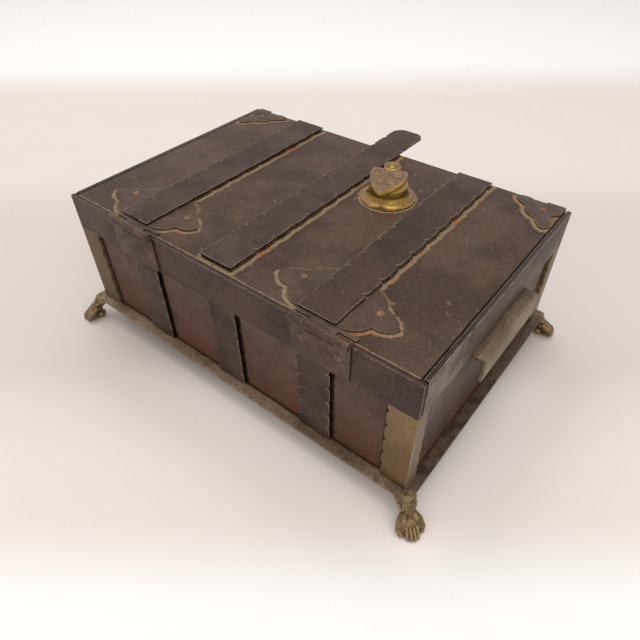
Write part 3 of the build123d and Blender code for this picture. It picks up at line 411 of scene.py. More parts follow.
# Painted shade: a dark line on the base plate along the foot of the walls.
wall_foot_shade = base.beside("X", [walls_span["X"]], 1.6 * mm)
wall_foot_shade *= base.beside("Y", [walls_span["Y"]], 1.6 * mm)
base.stain((45, 20, 10), wall_foot_shade, 0.85, 0.1)
base.done()

handle = Finish("handle iron", (155, 106, 66), (228, 165, 110), 0.35, 0.48, 30)
handle.spots((85, 58, 38), 70, 0.58, 0.7, 0.5)
handle.spots((280, 220, 160), 500, 0.52, 0.68, 0.4, stretch=(1, 0.04, 1))
handle.done()

hinge = Finish("hinge iron", (54, 30, 23), (104, 62, 48), 0.25, 0.46, 42)
hinge.spots((190, 105, 65), 150, 0.62, 0.7, 0.5)
hinge.done()

plate = Finish("ornament iron", (56, 33, 22), (90, 56, 38), 0.2, 0.52, 44)
plate.spots((170, 112, 66), 85, 0.6, 0.7, 0.5, 0.1)
plate.spots(rust_red, 50, 0.54, 0.68, 0.5)
plate.done()

works = Finish("lock iron", (100, 85, 74), (210, 185, 165), 0.85, 0.4, 60)
works.spots((60, 40, 30), 110, 0.56, 0.66, 0.7)
works.done()

steel = Finish("fastener steel", (80, 50, 36), (170, 108, 72), 0.5, 0.44, 120)
steel.spots((220, 100, 45), 230, 0.54, 0.66, 0.6)
fastener_steel = steel.done()

nail = Finish("rivet iron", (60, 42, 34), (130, 94, 74), 0.5, 0.45, 120)
nail.spots(rust_orange, 260, 0.6, 0.68, 0.5)
nail.done()
print("iron finishes:", sum("iron" in material.name for material in bpy.data.materials))

# %% [markdown]
# ## Brass and copper
#
# The posts are dull olive brass, greyer and duller on the left, darker at their foot, and pale on
# their faces at the ends of the box, where a reflection is painted.
# The lock and the feet are cast. Marks called "hollow", "ridge" and "flank" are painted
# on the cast meshes later: the finishes darken their hollows, brighten their ridges and
# paint a golden highlight on the steep flank of the lock's cover.

# %% Brass finishes
post = Finish("post brass", (150, 90, 38), (205, 130, 60), 0.35, 0.46, 22)
post.spots((110, 68, 32), 34, 0.56, 0.72, 0.4)
post.spots((260, 185, 105), 240, 0.58, 0.7, 0.4, stretch=(1, 1, 0.1))
post_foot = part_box("back_right_post")[0][2]
ragged_height = post.axis("Z") + post.noise(160) * (10 * mm)
dark_foot = post.ease(ragged_height, post_foot + 11 * mm, post_foot + 5 * mm)
post.stain((62, 45, 18), dark_foot, 0.85, 0.1)
left_posts = post.ease(post.axis("X"), -100 * mm, -110 * mm)
post.stain((135, 96, 58), left_posts, 0.8, 0.2)
# Painted reflection: the posts' faces on the ends of the box turn pale and grey.
end_face_reflection = post.ease(abs(post.axis("X")), half_x - 0.35 * mm, half_x - 0.15 * mm)
post.stain((190, 145, 112), end_face_reflection, 0.75)
post.done(0.2, grain=0.16)

lock = Finish("lock brass", (150, 86, 40), (245, 142, 72), 0.8, 0.34, 40)
lock.spots((380, 225, 50), 44, 0.5, 0.6, 0.85, -0.05)
lock.spots((360, 180, 95), 36, 0.52, 0.62, 0.75)
lock.spots((80, 48, 20), 90, 0.58, 0.7, 0.5, 0.1)
boss_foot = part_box("lock_boss")[0][2]
on_drum = lock.ease(lock.axis("Z"), boss_foot + 7.0 * mm, boss_foot + 7.6 * mm)
lock.stain((230, 145, 32), on_drum, 0.85, -0.05)
lock.done(0.25, grain=0.2)

cast = Finish("cast cover brass", (165, 98, 54), (255, 160, 94), 0.6, 0.46, 150)
cast.spots((105, 68, 36), 300, 0.5, 0.62, 0.7)
cast.spots((330, 235, 160), 420, 0.6, 0.7, 0.6)
cast.stain((95, 62, 35), cast.mark("hollow"), 0.55, 0.2)
cast.stain((290, 195, 112), cast.mark("ridge"), 0.55, -0.05)
# Painted highlight: the steep flank of the cover turns bright gold.
cast.stain((900, 590, 200), cast.mark("flank"), 1.0, -0.22)
cover_brass = cast.done(0.5, 0.25)

paw = Finish("foot brass", (92, 60, 28), (175, 116, 56), 0.65, 0.38, 110)
paw.spots((55, 36, 18), 75, 0.5, 0.64, 0.75)
paw.stain((30, 18, 9), paw.mark("hollow"), 0.75, 0.3)
paw.stain((460, 310, 150), paw.mark("ridge"), 0.8, -0.08)
foot_brass = paw.done(0.35)

copper = Finish("rivet copper", (130, 62, 38), (240, 124, 76), 0.6, 0.46, 160)
copper.spots((70, 40, 28), 320, 0.54, 0.68, 0.6)
rivet_copper = copper.done()
print("finishes:", len(bpy.data.materials))

# %% [markdown]
# ## Worn edges
#
# Wherever an iron edge is rubbed, bare metal shows as a thin broken line. The Bevel
# modifier can give the faces that it adds a second material, so the line is exactly as
# wide as the edge that was broken.

# %% Finishes for broken edges
def worn_edge(name, base_colour, bright, scale=95, low=0.46, high=0.6, metallic=0.4):
    """The finish of a rubbed edge: bright metal in places, the old surface elsewhere."""
    rubbed = Finish(name, base_colour, base_colour, metallic, 0.42, 60)
    return rubbed.spots(bright, scale, low, high).done(0.3)


iron_edge = worn_edge("worn iron edge", (90, 60, 48), (240, 185, 150))
# The bars of the rim get a pale grey broken line on their edges: partly wear, partly a painted
# highlight.
band_edge_highlight = worn_edge("worn band edge", (110, 78, 64), (560, 510, 470), 110, 0.38, 0.46)
dusty_edge = worn_edge("dusty edge", (130, 86, 56), (270, 190, 120), 120)
brass_edge = worn_edge("worn brass edge", (200, 132, 66), (400, 300, 180))
gold_edge = worn_edge("rubbed lock edge", (240, 150, 70), (430, 280, 130), metallic=0.8)
print("with edges:", len(bpy.data.materials))

# %% [markdown]
# ## Plain copies with broken edges
#
# Most bars, leaves and plates already have their exact shape in the CAD model, but its
# edges are razor sharp. A copy is merged, its flat faces are joined, and a small bevel
# breaks the edges. The copy then stands for the CAD piece.

# %% Helpers that settle a piece on the frame
def frozen(piece):
    """Applies all modifiers and leaves one plain mesh."""
    graph = bpy.context.evaluated_depsgraph_get()
    mesh = bpy.data.meshes.new_from_object(piece.evaluated_get(graph), depsgraph=graph)
    piece.modifiers.clear()
    piece.data = mesh
    return piece


def shown(name, mesh, *materials):
    """A new object of this mesh, at the origin, with these materials."""
    piece = bpy.data.objects.new(name, mesh)
    for material in materials:
        mesh.materials.append(material)
    bpy.context.collection.objects.link(piece)
    return piece


def settle(piece, *nodes):
    """The piece stands for these CAD nodes and takes their body."""
    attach(piece, body_of_node[nodes[0]])
    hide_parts(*nodes)
    return piece


def merged(node):
    """A merged copy of a CAD node's mesh, in a bmesh."""
    bm = bmesh.new()
    bm.from_mesh(frame["nodes"][node].data)
    bmesh.ops.remove_doubles(bm, verts=bm.verts, dist=0.002 * mm)
    bmesh.ops.dissolve_limit(bm, angle_limit=radians(0.6), verts=bm.verts, edges=bm.edges)
    return bm


def mesh_of(name, bm):
    """Turns a bmesh into a mesh and frees it."""
    mesh = bpy.data.meshes.new(name)
    bm.to_mesh(mesh)
    bm.free()
    return mesh


def paint(mesh, **marks):
    """Stores marks from 0 to 1 on the points of a mesh and shades it smooth."""
    for name, values in marks.items():
        mark = mesh.attributes.new(name, "FLOAT", "POINT")
        mark.data.foreach_set("value", np.clip(values, 0, 1))
    mesh.polygons.foreach_set("use_smooth", [True] * len(mesh.polygons))


def finish_of(node):
    """The finish of a node's slot. The sheets and bars on the ends have their own, lighter ones
    that carry a painted reflection.
    """
    name = slot_of_node[node].replace("_", " ")
    on_end = node in ("left_panel", "right_panel", "left_band", "right_band")
    return bpy.data.materials[f"end {name}" if on_end else name]


def eased(node, width, edges):
    """A copy of a CAD node, its sharp edges broken to this width in millimetres."""
    bm = merged(node)
    for face in bm.faces:
        face.smooth = True
    name = f"eased_{node}"
    piece = shown(name, mesh_of(name, bm), finish_of(node), edges)
    bevel = piece.modifiers.new("eased", "BEVEL")
    bevel.limit_method = "ANGLE"
    bevel.angle_limit = radians(32)
    bevel.width = width * mm
    bevel.segments = 2
    bevel.material = 1
    bevel.harden_normals = True
    return settle(frozen(piece), node)


# %% Break the edges of the bars, plates and leaves
for wall in walls:
    eased(f"{wall}_band", 0.55, band_edge_highlight)
for end in ends:
    eased(f"{end}_band", 0.45, band_edge_highlight)
for wall in walls:
    for end in ends:
        eased(f"{wall}_{end}_post", 0.4, brass_edge)
for end in ends:
    eased(f"{end}_handle", 0.35, iron_edge)
    eased(f"{end}_hinge_body_leaf", 0.2, iron_edge)
    eased(f"{end}_hinge_lid_leaf", 0.2, iron_edge)
    eased(f"{end}_wing_plate", 0.3, dusty_edge)
    eased(f"{end}_corner_plate", 0.3, dusty_edge)
eased("base_plate", 0.4, dusty_edge)
eased("lock_boss", 0.35, gold_edge)
eased("cover_pivot", 0.2, gold_edge)

# %% [markdown]
# ## Painted shade in the joints
#
# At the back the end bars of the rim stop short of the long bar, and a black block fills
# each joint nearly to its mouth: painted shade, so the joints look black from every side.
# At the front the end bars run through, and a black block lies in their cut ends, which
# look just as black.

# %% Fill the joints with painted shade
# Painted shade: a near-black, dull finish for the blocks that fill the joints.
joint_shade_finish = Finish("packed dirt", joint_shade_black, (12, 8, 6), 0.0, 0.9, gleam=0.05)
mouth = 0.8 * mm
packing = bmesh.new()
for end in ends:
    x_low, x_high = span("X", f"{end}_band")
    z_low, z_high = span("Z", f"{end}_band")
    bar_low, bar_high = span("Y", f"{end}_band")
    back_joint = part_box("back_band")[1][1], bar_low
    front_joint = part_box("front_band")[0][1], bar_high
    for y_low, y_high in (back_joint, front_joint):
        centre = ((x_low + x_high) / 2, (y_low + y_high) / 2, (z_low + z_high) / 2)
        size = (x_high - x_low - mouth, y_high - y_low, z_high - z_low - mouth)
        block = Matrix.Translation(centre) @ Matrix.Diagonal((*size, 1))
        bmesh.ops.create_cube(packing, size=1, matrix=block)
packed = shown("painted_joint_shade", mesh_of("painted_joint_shade", packing), joint_shade_finish.done())
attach(packed, body_of_node["back_band"])
print("front joint", [round(v / mm, 2) for v in size], "mm")

# %% [markdown]
# ## Geometry Nodes recipes
#
# The straps, rivets and screws follow rules, so trees make them. A recipe has named
# inputs for its sizes. Its result is turned into a plain mesh, put in its place, and
# only then given to the frame.

# %% A helper for recipes with named inputs
class Recipe(Wiring):
    """A Geometry Nodes tree. Its named inputs are read as recipe["Name"]."""

    kinds = {float: "Float", int: "Int", bpy.types.Material: "Material"}

    def __init__(self, name, inputs):
        self.usual = inputs
        tree = bpy.data.node_groups.new(name, "GeometryNodeTree")
        super().__init__(tree)
        new_socket = tree.interface.new_socket
        new_socket(name="Geometry", in_out="OUTPUT", socket_type="NodeSocketGeometry")
        new_socket(name="Geometry", in_out="INPUT", socket_type="NodeSocketGeometry")
        self.keys = {}
        for label, value in inputs.items():
            kind = f"NodeSocket{self.kinds[type(value)]}"
            socket = new_socket(name=label, in_out="INPUT", socket_type=kind)
            self.keys[label] = socket.identifier
        self.source = self.node("NodeGroupInput")

    def __getitem__(self, label):
        return Amount(self, self.source.outputs[label])

    def finish(self, geometry):
        """Ends the tree with smooth shading, real geometry and the metal it is given."""
        smooth = self.output("GeometryNodeSetShadeSmooth", [geometry])
        real = self.output("GeometryNodeRealizeInstances", [smooth])
        inputs = {"Geometry": real, "Material": self["Metal"]}
        self.node("NodeGroupOutput", [self.output("GeometryNodeSetMaterial", inputs)])

    def grow(self, name, mesh, place, values={}):
        """Runs the tree on a mesh and leaves a plain piece at its place."""
        piece = shown(name, mesh)
        modifier = piece.modifiers.new(self.tree.name, "NODES")
        modifier.node_group = self.tree
        for label, value in {**self.usual, **values}.items():
            modifier[self.keys[label]] = value
        frozen(piece)
        piece.data.transform(place)
        return piece


# %% [markdown]
# ## Nicked straps
#
# Each strap is a bar whose long edges were nicked at even steps with a chisel. Between
# the nicks the edge bows out and curls up a little, so a gap shows under it, and at a
# nick it touches the sheet. That is one rule for nine straps. The tree starts from a flat
# grid, makes it a closed slab and moves each point to where the rule says. It also marks
# worn rims, the undersides of the curls, where the finish paints black shade, and the
# nicks for the finish of the straps.

# %% The strap recipe
strap = Recipe("nicked strap", {
    "Length": 0.0, "Half Width": 12.5 * mm, "Thickness": 3.0 * mm, "Rows": 0,
    "First Nick": 11.6 * mm, "Nick Step": 13.3 * mm, "Last Nick": 0.0,
    "Nick Width": 3.2 * mm, "Nick Depth": 2.2 * mm, "Bow": 0.5 * mm, "End Radius": 0.0,
    "Rounding": 0.35 * mm, "Curl": 1.9 * mm, "Curl Reach": 3.2 * mm, "Hammer": 0.5 * mm,
    "Slot Half": 0.0, "Slot Length": 0.0, "Slot Height": 0.0,
    "Seed": 0.0, "Metal": strap_iron,
})
sheet = strap.output("GeometryNodeMeshGrid", [2.0, strap["Length"], 25, strap["Rows"]])
upwards = {"Mesh": sheet, "Offset Scale": 1.0, "Individual": False}
halves = strap.node("GeometryNodeJoinGeometry", [strap.output("GeometryNodeExtrudeMesh", upwards)])
flipped = strap.output("GeometryNodeFlipFaces", [sheet])
strap.tree.links.new(flipped.socket, halves.inputs[0])
weld = {"Geometry": halves.outputs[0], "Distance": 1e-5}
formed = strap.output("GeometryNodeMergeByDistance", weld)

x, y, z = strap.parts(strap.output("GeometryNodeInputPosition"))
along = y + strap["Length"] * 0.5
on_top = z > 0.5
low_side = 1 - on_top
turn = (along - strap["First Nick"]) / strap["Nick Step"]
nearest = strap.math("ROUND", turn).at_most(strap["Last Nick"]).at_least(0)
away = abs(turn - nearest) * strap["Nick Step"]
half_nick = strap["Nick Width"] * 0.5
nick = (1 - away / half_nick).at_least(0)
phase = strap.math("FRACT", turn)
swell = phase * (1 - phase) * 4

wide = strap["Half Width"] + strap["Bow"]
nicked = strap["Half Width"] + strap["Bow"] * swell - strap["Nick Depth"] * nick
past = (along - (strap["Length"] - strap["End Radius"])).at_least(0)
square = (strap["End Radius"] ** 2 - past ** 2).at_least(0)
corner = wide - strap["End Radius"] + strap.math("SQRT", square)
half = nicked.at_most(corner)
across = half * strap.math("SINE", x * (pi / 2))
reach = abs(across)

from_side = half - reach
from_end = along.at_most(strap["Length"] - along)
from_rim = from_side.at_most(from_end).at_least(0)
rim = (1 - from_rim / strap["Rounding"]).at_least(0)
drop = 1 - strap.math("SQRT", (1 - rim ** 2).at_least(0))
spot = strap.vector(across, along, strap["Seed"])
blows = strap.output("ShaderNodeTexNoise", {"Vector": spot, "Scale": 75.0, "Detail": 2.0})
dent = (blows - 0.62) * strap["Hammer"]
top = strap["Thickness"] + dent - drop * strap["Rounding"]

near_side = strap.ease(strap["Curl Reach"] - from_side, 0.0, strap["Curl Reach"])
curl = near_side * (swell * 2.2).at_most(1) * strap["Curl"]
in_slot = (reach < strap["Slot Half"]) * (along < strap["Slot Length"])
bottom = curl.at_least(in_slot * strap["Slot Height"])
rise = on_top * top + low_side * bottom

by_nick = (1.7 - away / half_nick).at_most(1).at_least(0)
by_rim = (1 - from_side / (1.1 * mm)).at_least(low_side)
worn_rim = on_top * (1 - from_rim / (0.9 * mm)).at_least(0)
# The mark "under" tells the finish where to paint shade black under the curls.
marks = {"edge": worn_rim, "under": low_side * (1 - by_nick), "nick": by_rim * by_nick}
for name, value in marks.items():
    inputs = {"Geometry": formed, "Name": name, "Value": value}
    formed = strap.output("GeometryNodeStoreNamedAttribute", inputs)
moved = {"Geometry": formed, "Position": strap.vector(across, along, rise)}
strap.finish(strap.output("GeometryNodeSetPosition", moved))
print("strap recipe:", len(strap.tree.nodes), "nodes")

# %% Forge the nine straps
def forge_strap(node, place, length, sizes):
    """One strap, from the end where its nicks are counted from."""
    sizes = {**strap.usual, **sizes, "Length": length, "Rows": round(length / (0.42 * mm))}
    room = length - sizes["First Nick"] - sizes["Nick Width"]
    sizes.update({"Last Nick": float(floor(room / sizes["Nick Step"])), "Seed": len(node) * 0.37})
    settle(strap.grow(f"forged_{node}", bpy.data.meshes.new(node), place, sizes), node)


on_lid = {"Half Width": 13.5 * mm, "Nick Step": 17.4 * mm}
slotted = {"Slot Half": 12.2 * mm, "Slot Length": 27 * mm, "Slot Height": 1.5 * mm}
for node, first, extra in (
    ("left_lid_strap", 27.0, slotted),
    ("pull_strap", 24.4, {"End Radius": 10 * mm}),
    ("right_lid_strap", 30.9, slotted),
):
    low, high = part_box(node)
    place = Matrix.Translation(((low[0] + high[0]) / 2, low[1], low[2]))
    forge_strap(node, place, high[1] - low[1], {**on_lid, **extra, "First Nick": first * mm})
for wall, out in walls.items():
    for end in ("left", "middle", "right"):
        node = f"{wall}_{end}_strap"
        low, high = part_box(node)
        against = high[1] if out < 0 else low[1]
        turn_up = Matrix(((-out, 0, 0), (0, 0, out), (0, 1, 0))).to_4x4()
        place = Matrix.Translation(((low[0] + high[0]) / 2, against, low[2])) @ turn_up
        forge_strap(node, place, high[2] - low[2], {})

# %% [markdown]
# ## Rivets and screws
#
# Copper rivets hold the ornament plates, and slotted screws hold the hinge leaves. Their
# places are read from the CAD pieces, one loose part at a time. One tree puts a domed
# head on every place, and the other also cuts a slot across it.

# %% Recipes for heads
def loose_parts(node):
    """Lowest and highest corner of each loose part of a CAD node."""
    bm = merged(node)
    unseen, parts = set(bm.verts), []
    while unseen:
        newest = {unseen.pop()}
        part = set(newest)
        while newest:
            newest = {link.other_vert(v) for v in newest for link in v.link_edges} & unseen
            unseen -= newest
            part |= newest
        spots = np.array([tuple(vertex.co) for vertex in part])
        parts.append((spots.min(0), spots.max(0)))
    bm.free()
    return sorted(parts, key=lambda part: tuple(part[0].round(5)))


def head_recipe(name, sizes):
    """Domed heads on the points of a mesh, with a screw slot if its size is given."""
    recipe = Recipe(name, sizes)
    radius, height = recipe["Radius"], recipe["Height"]
    ball = recipe.output("GeometryNodeMeshUVSphere", [28, 16, 1.0])
    x, y, z = recipe.parts(recipe.output("GeometryNodeInputPosition"))
    dome = recipe.vector(x * radius, y * radius, z.at_least(-0.5) * height)
    head = recipe.output("GeometryNodeSetPosition", {"Geometry": ball, "Position": dome})
    if "Slot" in sizes:
        bar_size = recipe.vector(radius * 3, recipe["Slot"], height)
        bar = recipe.output("GeometryNodeMeshCube", [bar_size])
        lift = {"Geometry": bar, "Translation": recipe.vector(0, 0, height * 0.75)}
        bar = recipe.output("GeometryNodeTransform", lift)
        head = recipe.output("GeometryNodeMeshBoolean", [head, bar], operation="DIFFERENCE")
    full_turn = {2: 0.0, 3: 6.28, 8: recipe["Seed"]}
    roll = recipe.node("FunctionNodeRandomValue", full_turn).outputs[1]
    inputs = {"Points": recipe["Geometry"], "Instance": head}
    inputs["Rotation"] = recipe.vector(0, 0, roll)
    recipe.finish(recipe.output("GeometryNodeInstanceOnPoints", inputs))
    return recipe


def set_heads(recipe, name, spots, place, node):
    """Heads on loose points, which stand for a CAD node."""
    mesh = bpy.data.meshes.new("places")
    mesh.from_pydata(spots, [], [])
    settle(recipe.grow(name, mesh, place), node)
    print(len(spots), recipe.tree.name)


rivet_heads = head_recipe("domed heads", {
    "Radius": 2.5 * mm, "Height": 0.6 * mm, "Seed": 3, "Metal": rivet_copper,
})
screw_heads = head_recipe("slotted heads", {
    "Radius": 2.6 * mm, "Height": 0.75 * mm, "Slot": 0.75 * mm, "Seed": 5,
    "Metal": fastener_steel,
})

# %% Set the rivets and screws
rivets = loose_parts("ornament_rivets")
spots = [(*((low + high) / 2)[:2], high[2] - 0.8 * mm) for low, high in rivets]
set_heads(rivet_heads, "copper_heads", spots, Matrix(), "ornament_rivets")

screws = loose_parts("hinge_screws")
leaf_y = min(low[1] for low, high in screws) + 0.7 * mm
spots = [((low[0] + high[0]) / 2, (low[2] + high[2]) / 2, 0) for low, high in screws]
face_out = Matrix(((1, 0, 0), (0, 0, -1), (0, 1, 0))).to_4x4()
place = Matrix.Translation((0, leaf_y, 0)) @ face_out
set_heads(screw_heads, "slotted_heads", spots, place, "hinge_screws")

# %% [markdown]
# ## The lid
#
# The lid is one flat sheet, and most of what the eye meets on it is dirt: pale dust has
# gathered along every strap and ornament plate. Dust is a matter of distance, so the
# sheet is a dense grid, and each of its points measures how far it is from the nearest
# outline. The lid's finish reads that as the mark "dust". Close to the right side of the
# straps, where their shadow falls, a second mark paints that shadow black on the sheet.

# %% Trace the outlines that gather dust
def outline_points(node, level, step=0.4 * mm):
    """Points along the outline of a CAD node where it rests on a level."""
    bm = merged(node)
    for edge in bm.edges:
        ends = [vertex.co for vertex in edge.verts]
        if all(abs(co.z - level) < 0.05 * mm for co in ends):
            count = max(1, round((ends[1] - ends[0]).length / step))
            for i in range(count):
                yield ends[0].lerp(ends[1], i / count)
    bm.free()


gatherers = {
    "left_lid_strap": 1.0, "pull_strap": 1.0, "right_lid_strap": 1.0,
    "left_wing_plate": 0.72, "right_wing_plate": 0.72, "left_corner_plate": 0.7,
    "right_corner_plate": 0.8, "lock_boss": 0.5,
}
traced = [
    (point, weight)
    for node, weight in gatherers.items()
    for point in outline_points(node, lid_top)
]
tree = KDTree(len(traced))
for index, (point, _) in enumerate(traced):
    tree.insert((point.x, point.y, 0), index)
tree.balance()
print("outline points:", len(traced))


# %% Lay the lid's sheet
def ticks(low, high, coarse, fine, zones):
    """Places from low to high, closer together inside the zones."""
    rim = [0.07 * mm, 0.25 * mm, 0.5 * mm]
    places = [low] + [low + d for d in rim]
    while places[-1] < high - 0.5 * mm - coarse:
        here = places[-1]
        dense = any(a < here < b for a, b in zones)
        places.append(here + (fine if dense else coarse))
    return np.array(places + [high - d for d in reversed(rim)] + [high])


lid_low, lid_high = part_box("lid_plate")
lid_straps = ("left_lid_strap", "pull_strap", "right_lid_strap")
zones = [(x - 3 * mm, x + 3 * mm) for node in lid_straps for x in span("X", node)]
back_zone = (lid_low[1], lid_low[1] + 50 * mm)
xs = ticks(lid_low[0], lid_high[0], 1.0 * mm, 0.5 * mm, zones)
ys = ticks(lid_low[1], lid_high[1], 1.2 * mm, 0.7 * mm, [back_zone])
grid_x, grid_y = np.meshgrid(xs, ys)
to_edges = [grid_x - xs[0], xs[-1] - grid_x, grid_y - ys[0], ys[-1] - grid_y]
from_edge = np.minimum.reduce(to_edges)
rounding, dent = 0.5 * mm, 0.12 * mm
rim = np.clip(1 - from_edge / rounding, 0, 1)
buckle = dent * np.sin(grid_x * 41 + 1.3) * np.sin(grid_y * 53 + 0.4)
buckle *= np.clip(from_edge / (12 * mm), 0, 1)
grid_z = lid_top - rounding * (1 - np.sqrt(1 - rim**2)) + buckle - dent
top = np.stack([grid_x, grid_y, grid_z], -1).reshape(-1, 3)
index = np.arange(grid_x.size).reshape(grid_x.shape)
square = [index[:-1, :-1], index[:-1, 1:], index[1:, 1:], index[1:, :-1]]
quads = np.stack(square, -1).reshape(-1, 4)
ring = np.concatenate([index[0, :-1], index[:-1, -1], index[-1, :0:-1], index[:0:-1, 0]])
low_ring = len(top) + np.arange(len(ring))
underside = top[ring].copy()
underside[:, 2] = lid_low[2]
sides = np.stack([ring, low_ring, np.roll(low_ring, -1), np.roll(ring, -1)], -1)
faces = quads.tolist() + sides.tolist() + [low_ring[::-1].tolist()]
lid_mesh = bpy.data.meshes.new("lid_sheet")
lid_mesh.from_pydata(np.concatenate([top, underside]).tolist(), [], faces)
print("lid sheet:", len(quads), "squares")

# %% Let dust gather on it
dust_reach, dust_skirt, back_reach, contact_reach = 3.8 * mm, 6 * mm, 1.1 * mm, 0.95 * mm
dust = np.zeros(len(top) + len(underside))
contact = np.zeros(len(dust))
for i, (x, y, _) in enumerate(top):
    _, nearest, distance = tree.find((x, y, 0))
    outline, weight = traced[nearest]
    side = 1.0 if x > outline.x else 0.4
    if weight < 1:
        side = 0.85 if y < outline.y else 0.5
    line = side * np.exp(-((distance / (dust_reach * weight)) ** 4))
    # Painted shadow: a black line beside the right side of each strap.
    if side == 1.0:
        contact[i] = np.exp(-((distance / contact_reach) ** 4))
    from_back = np.exp(-((y - lid_low[1]) / back_reach) ** 2)
    dust[i] = max(line, 0.8 * from_back) + 0.31 * side * np.exp(-distance / dust_skirt)
paint(lid_mesh, dust=dust, contact=contact)
lid_mesh.set_sharp_from_angle(angle=radians(40))
settle(shown("lid_sheet", lid_mesh, lid_iron), "lid_plate")
print("dusty points:", int((dust > 0.5).sum()))

# %% [markdown]
# ## Cast pieces
#
# The paws and the lock's cover are castings: soft, rounded forms that run into each
# other. Simple lumps are pushed together, a voxel remesh melts them into one skin, and
# smoothing takes the steps away. The skin then measures its own hollows, ridges and
# flanks, so that the brass finish can darken the hollows, brighten the ridges and paint a
# highlight on the flanks of the cover.

# %% Helpers for castings
def lump(bm, place, radii, aim=(0, 0, 1), detail=20):
    """Adds an ellipsoid, its third radius along aim."""
    turn = Vector(aim).to_track_quat("Z", "Y").to_matrix().to_4x4()
    shape = Matrix.Translation(Vector(place)) @ turn @ Matrix.Diagonal((*radii, 1))
    half = detail // 2
    bmesh.ops.create_uvsphere(bm, u_segments=detail, v_segments=half, radius=1, matrix=shape)


def limb(bm, path, radii, flat=1.0, steps=6):
    """A chain of lumps along a path, from radius to radius."""
    for (a, b), (ra, rb) in zip(zip(path, path[1:]), zip(radii, radii[1:])):
        a, b = Vector(a), Vector(b)
        for i in range(steps + 1):
            share = i / steps
            radius = ra + (rb - ra) * share
            lump(bm, a.lerp(b, share), (radius, radius * flat, radius), detail=12)


def melted(name, bm, voxel, rounds):
    """Melts everything in the bmesh into one skin and smooths it."""
    piece = shown(name, mesh_of(name, bm))
    remesh = piece.modifiers.new("melt", "REMESH")
    remesh.mode = "VOXEL"
    remesh.voxel_size = voxel
    smooth = piece.modifiers.new("smooth", "SMOOTH")
    smooth.factor = 0.5
    smooth.iterations = rounds
    return frozen(piece)


def numbers(items, field, width, kind=float):
    """One row of numbers for each item of a mesh."""
    values = np.empty(len(items) * width, dtype=kind)
    items.foreach_get(field, values)
    return values.reshape(-1, width)


def mark_relief(mesh, gain, spread=3):
    """Marks how hollow, how raised and how steep each point of a dense mesh is."""
    place = numbers(mesh.vertices, "co", 3)
    normal = numbers(mesh.vertex_normals, "vector", 3)
    ends = numbers(mesh.edges, "vertices", 2, np.int64)
    links = np.bincount(ends.ravel(), minlength=len(place))[:, None]

    def around(values):
        total = np.zeros_like(values)
        np.add.at(total, ends[:, 0], values[ends[:, 1]])
        np.add.at(total, ends[:, 1], values[ends[:, 0]])
        return total / np.maximum(links, 1)

    soft = place
    for _ in range(spread):
        soft = around(soft)
    relief = ((soft - place) * normal).sum(1)[:, None] * gain / mm
    relief = around(around(relief))[:, 0]
    flank = 1.6 - 2.4 * np.abs(normal[:, 2])
    paint(mesh, hollow=relief, ridge=-relief, flank=flank)


# %% [markdown]
# ### Lion's paws
#
# A paw is drawn once, in millimetres, with its stud at the origin and its toes towards
# +X: a spreading cuff with two rosettes under the corner of the box, a narrow waist, and
# a broad paw of four middle toes between two outer ones, each with its claw. It is then
# turned to each corner, the nearest one a little askew. The left paws are set in from the
# end of the back bar and the right ones from the end of the front bar, which is shorter.

# %% Model one paw
paw_form = bmesh.new()
bmesh.ops.create_cone(
    paw_form, cap_ends=True, segments=24, radius1=2.5, radius2=2.5, depth=12.5,
    matrix=Matrix.Translation((0, 0, 22.25)),
)
cuff = (
    ((9, 0, 19.6), (11, 7, 1.5)),
    ((20.5, 0, 19.6), (7.0, 7.0, 2.4)),
    ((22.6, 0, 19.6), (5.0, 7.4, 3.6)),
    ((24.6, 0, 17.8), (4.2, 6.2, 3.8)),
    ((24.1, 0, 22.0), (3.8, 4.2, 1.8)),
    ((21.8, -2.4, 22.0), (4.2, 3.6, 1.75)),
    ((21.8, 2.4, 22.0), (4.2, 3.6, 1.75)),
)
pad = (
    ((34.6, 0, 3.6), (6.0, 8.0, 4.2)),
    ((33.0, 0, 7.0), (5.2, 7.4, 5.0)),
    ((28.8, 0, 3.4), (4.6, 5.0, 3.8)),
    ((38.0, 0, 2.8), (3.4, 5.0, 3.2)),
)
for place, radii in cuff:
    lump(paw_form, place, radii)
limb(paw_form, [(25.2, 0, 17.2), (27.2, 0, 15.0), (29.0, 0, 12.0)], [4.9, 4.5, 4.0], 1.12)
limb(paw_form, [(28.6, 0, 11.2), (31.0, 0, 8.6), (33.8, 0, 6.0)], [3.8, 4.4, 4.8], 1.38)
for place, radii in pad:
    lump(paw_form, place, radii)
for side in (-1, 1):
    for bead in range(12):
        forth, aside = cos(bead * pi / 6), sin(bead * pi / 6)
        spot = (28.9 - 0.75 * forth, side * 2.35 + 1.3 * aside, 17.9 + 1.05 * forth)
        lump(paw_form, spot, (0.68, 0.68, 0.68), detail=10)
    rib = [(26.0, side * 5.6, 18.0), (28.6, side * 4.2, 15.4), (30.6, side * 0.6, 13.6)]
    limb(paw_form, rib, [1.3, 1.2, 1.1])
    shank = [(29.2, side * 2.0, 12.4), (32.6, side * 4.2, 9.0), (35.6, side * 5.0, 5.6)]
    limb(paw_form, shank, [2.8, 3.5, 3.0])
    outer_toe = [(30.0, side * 3.6, 10.8), (33.2, side * 6.0, 8.2), (36.0, side * 7.3, 5.0)]
    limb(paw_form, outer_toe, [2.7, 3.1, 2.6])
    lump(paw_form, (37.6, side * 6.6, 2.8), (2.2, 2.2, 2.7))
middle_toes = ((-3.4, 40.6, 0.0), (-1.2, 41.8, 0.35), (1.1, 42.0, 0.3), (3.4, 41.2, -0.1))
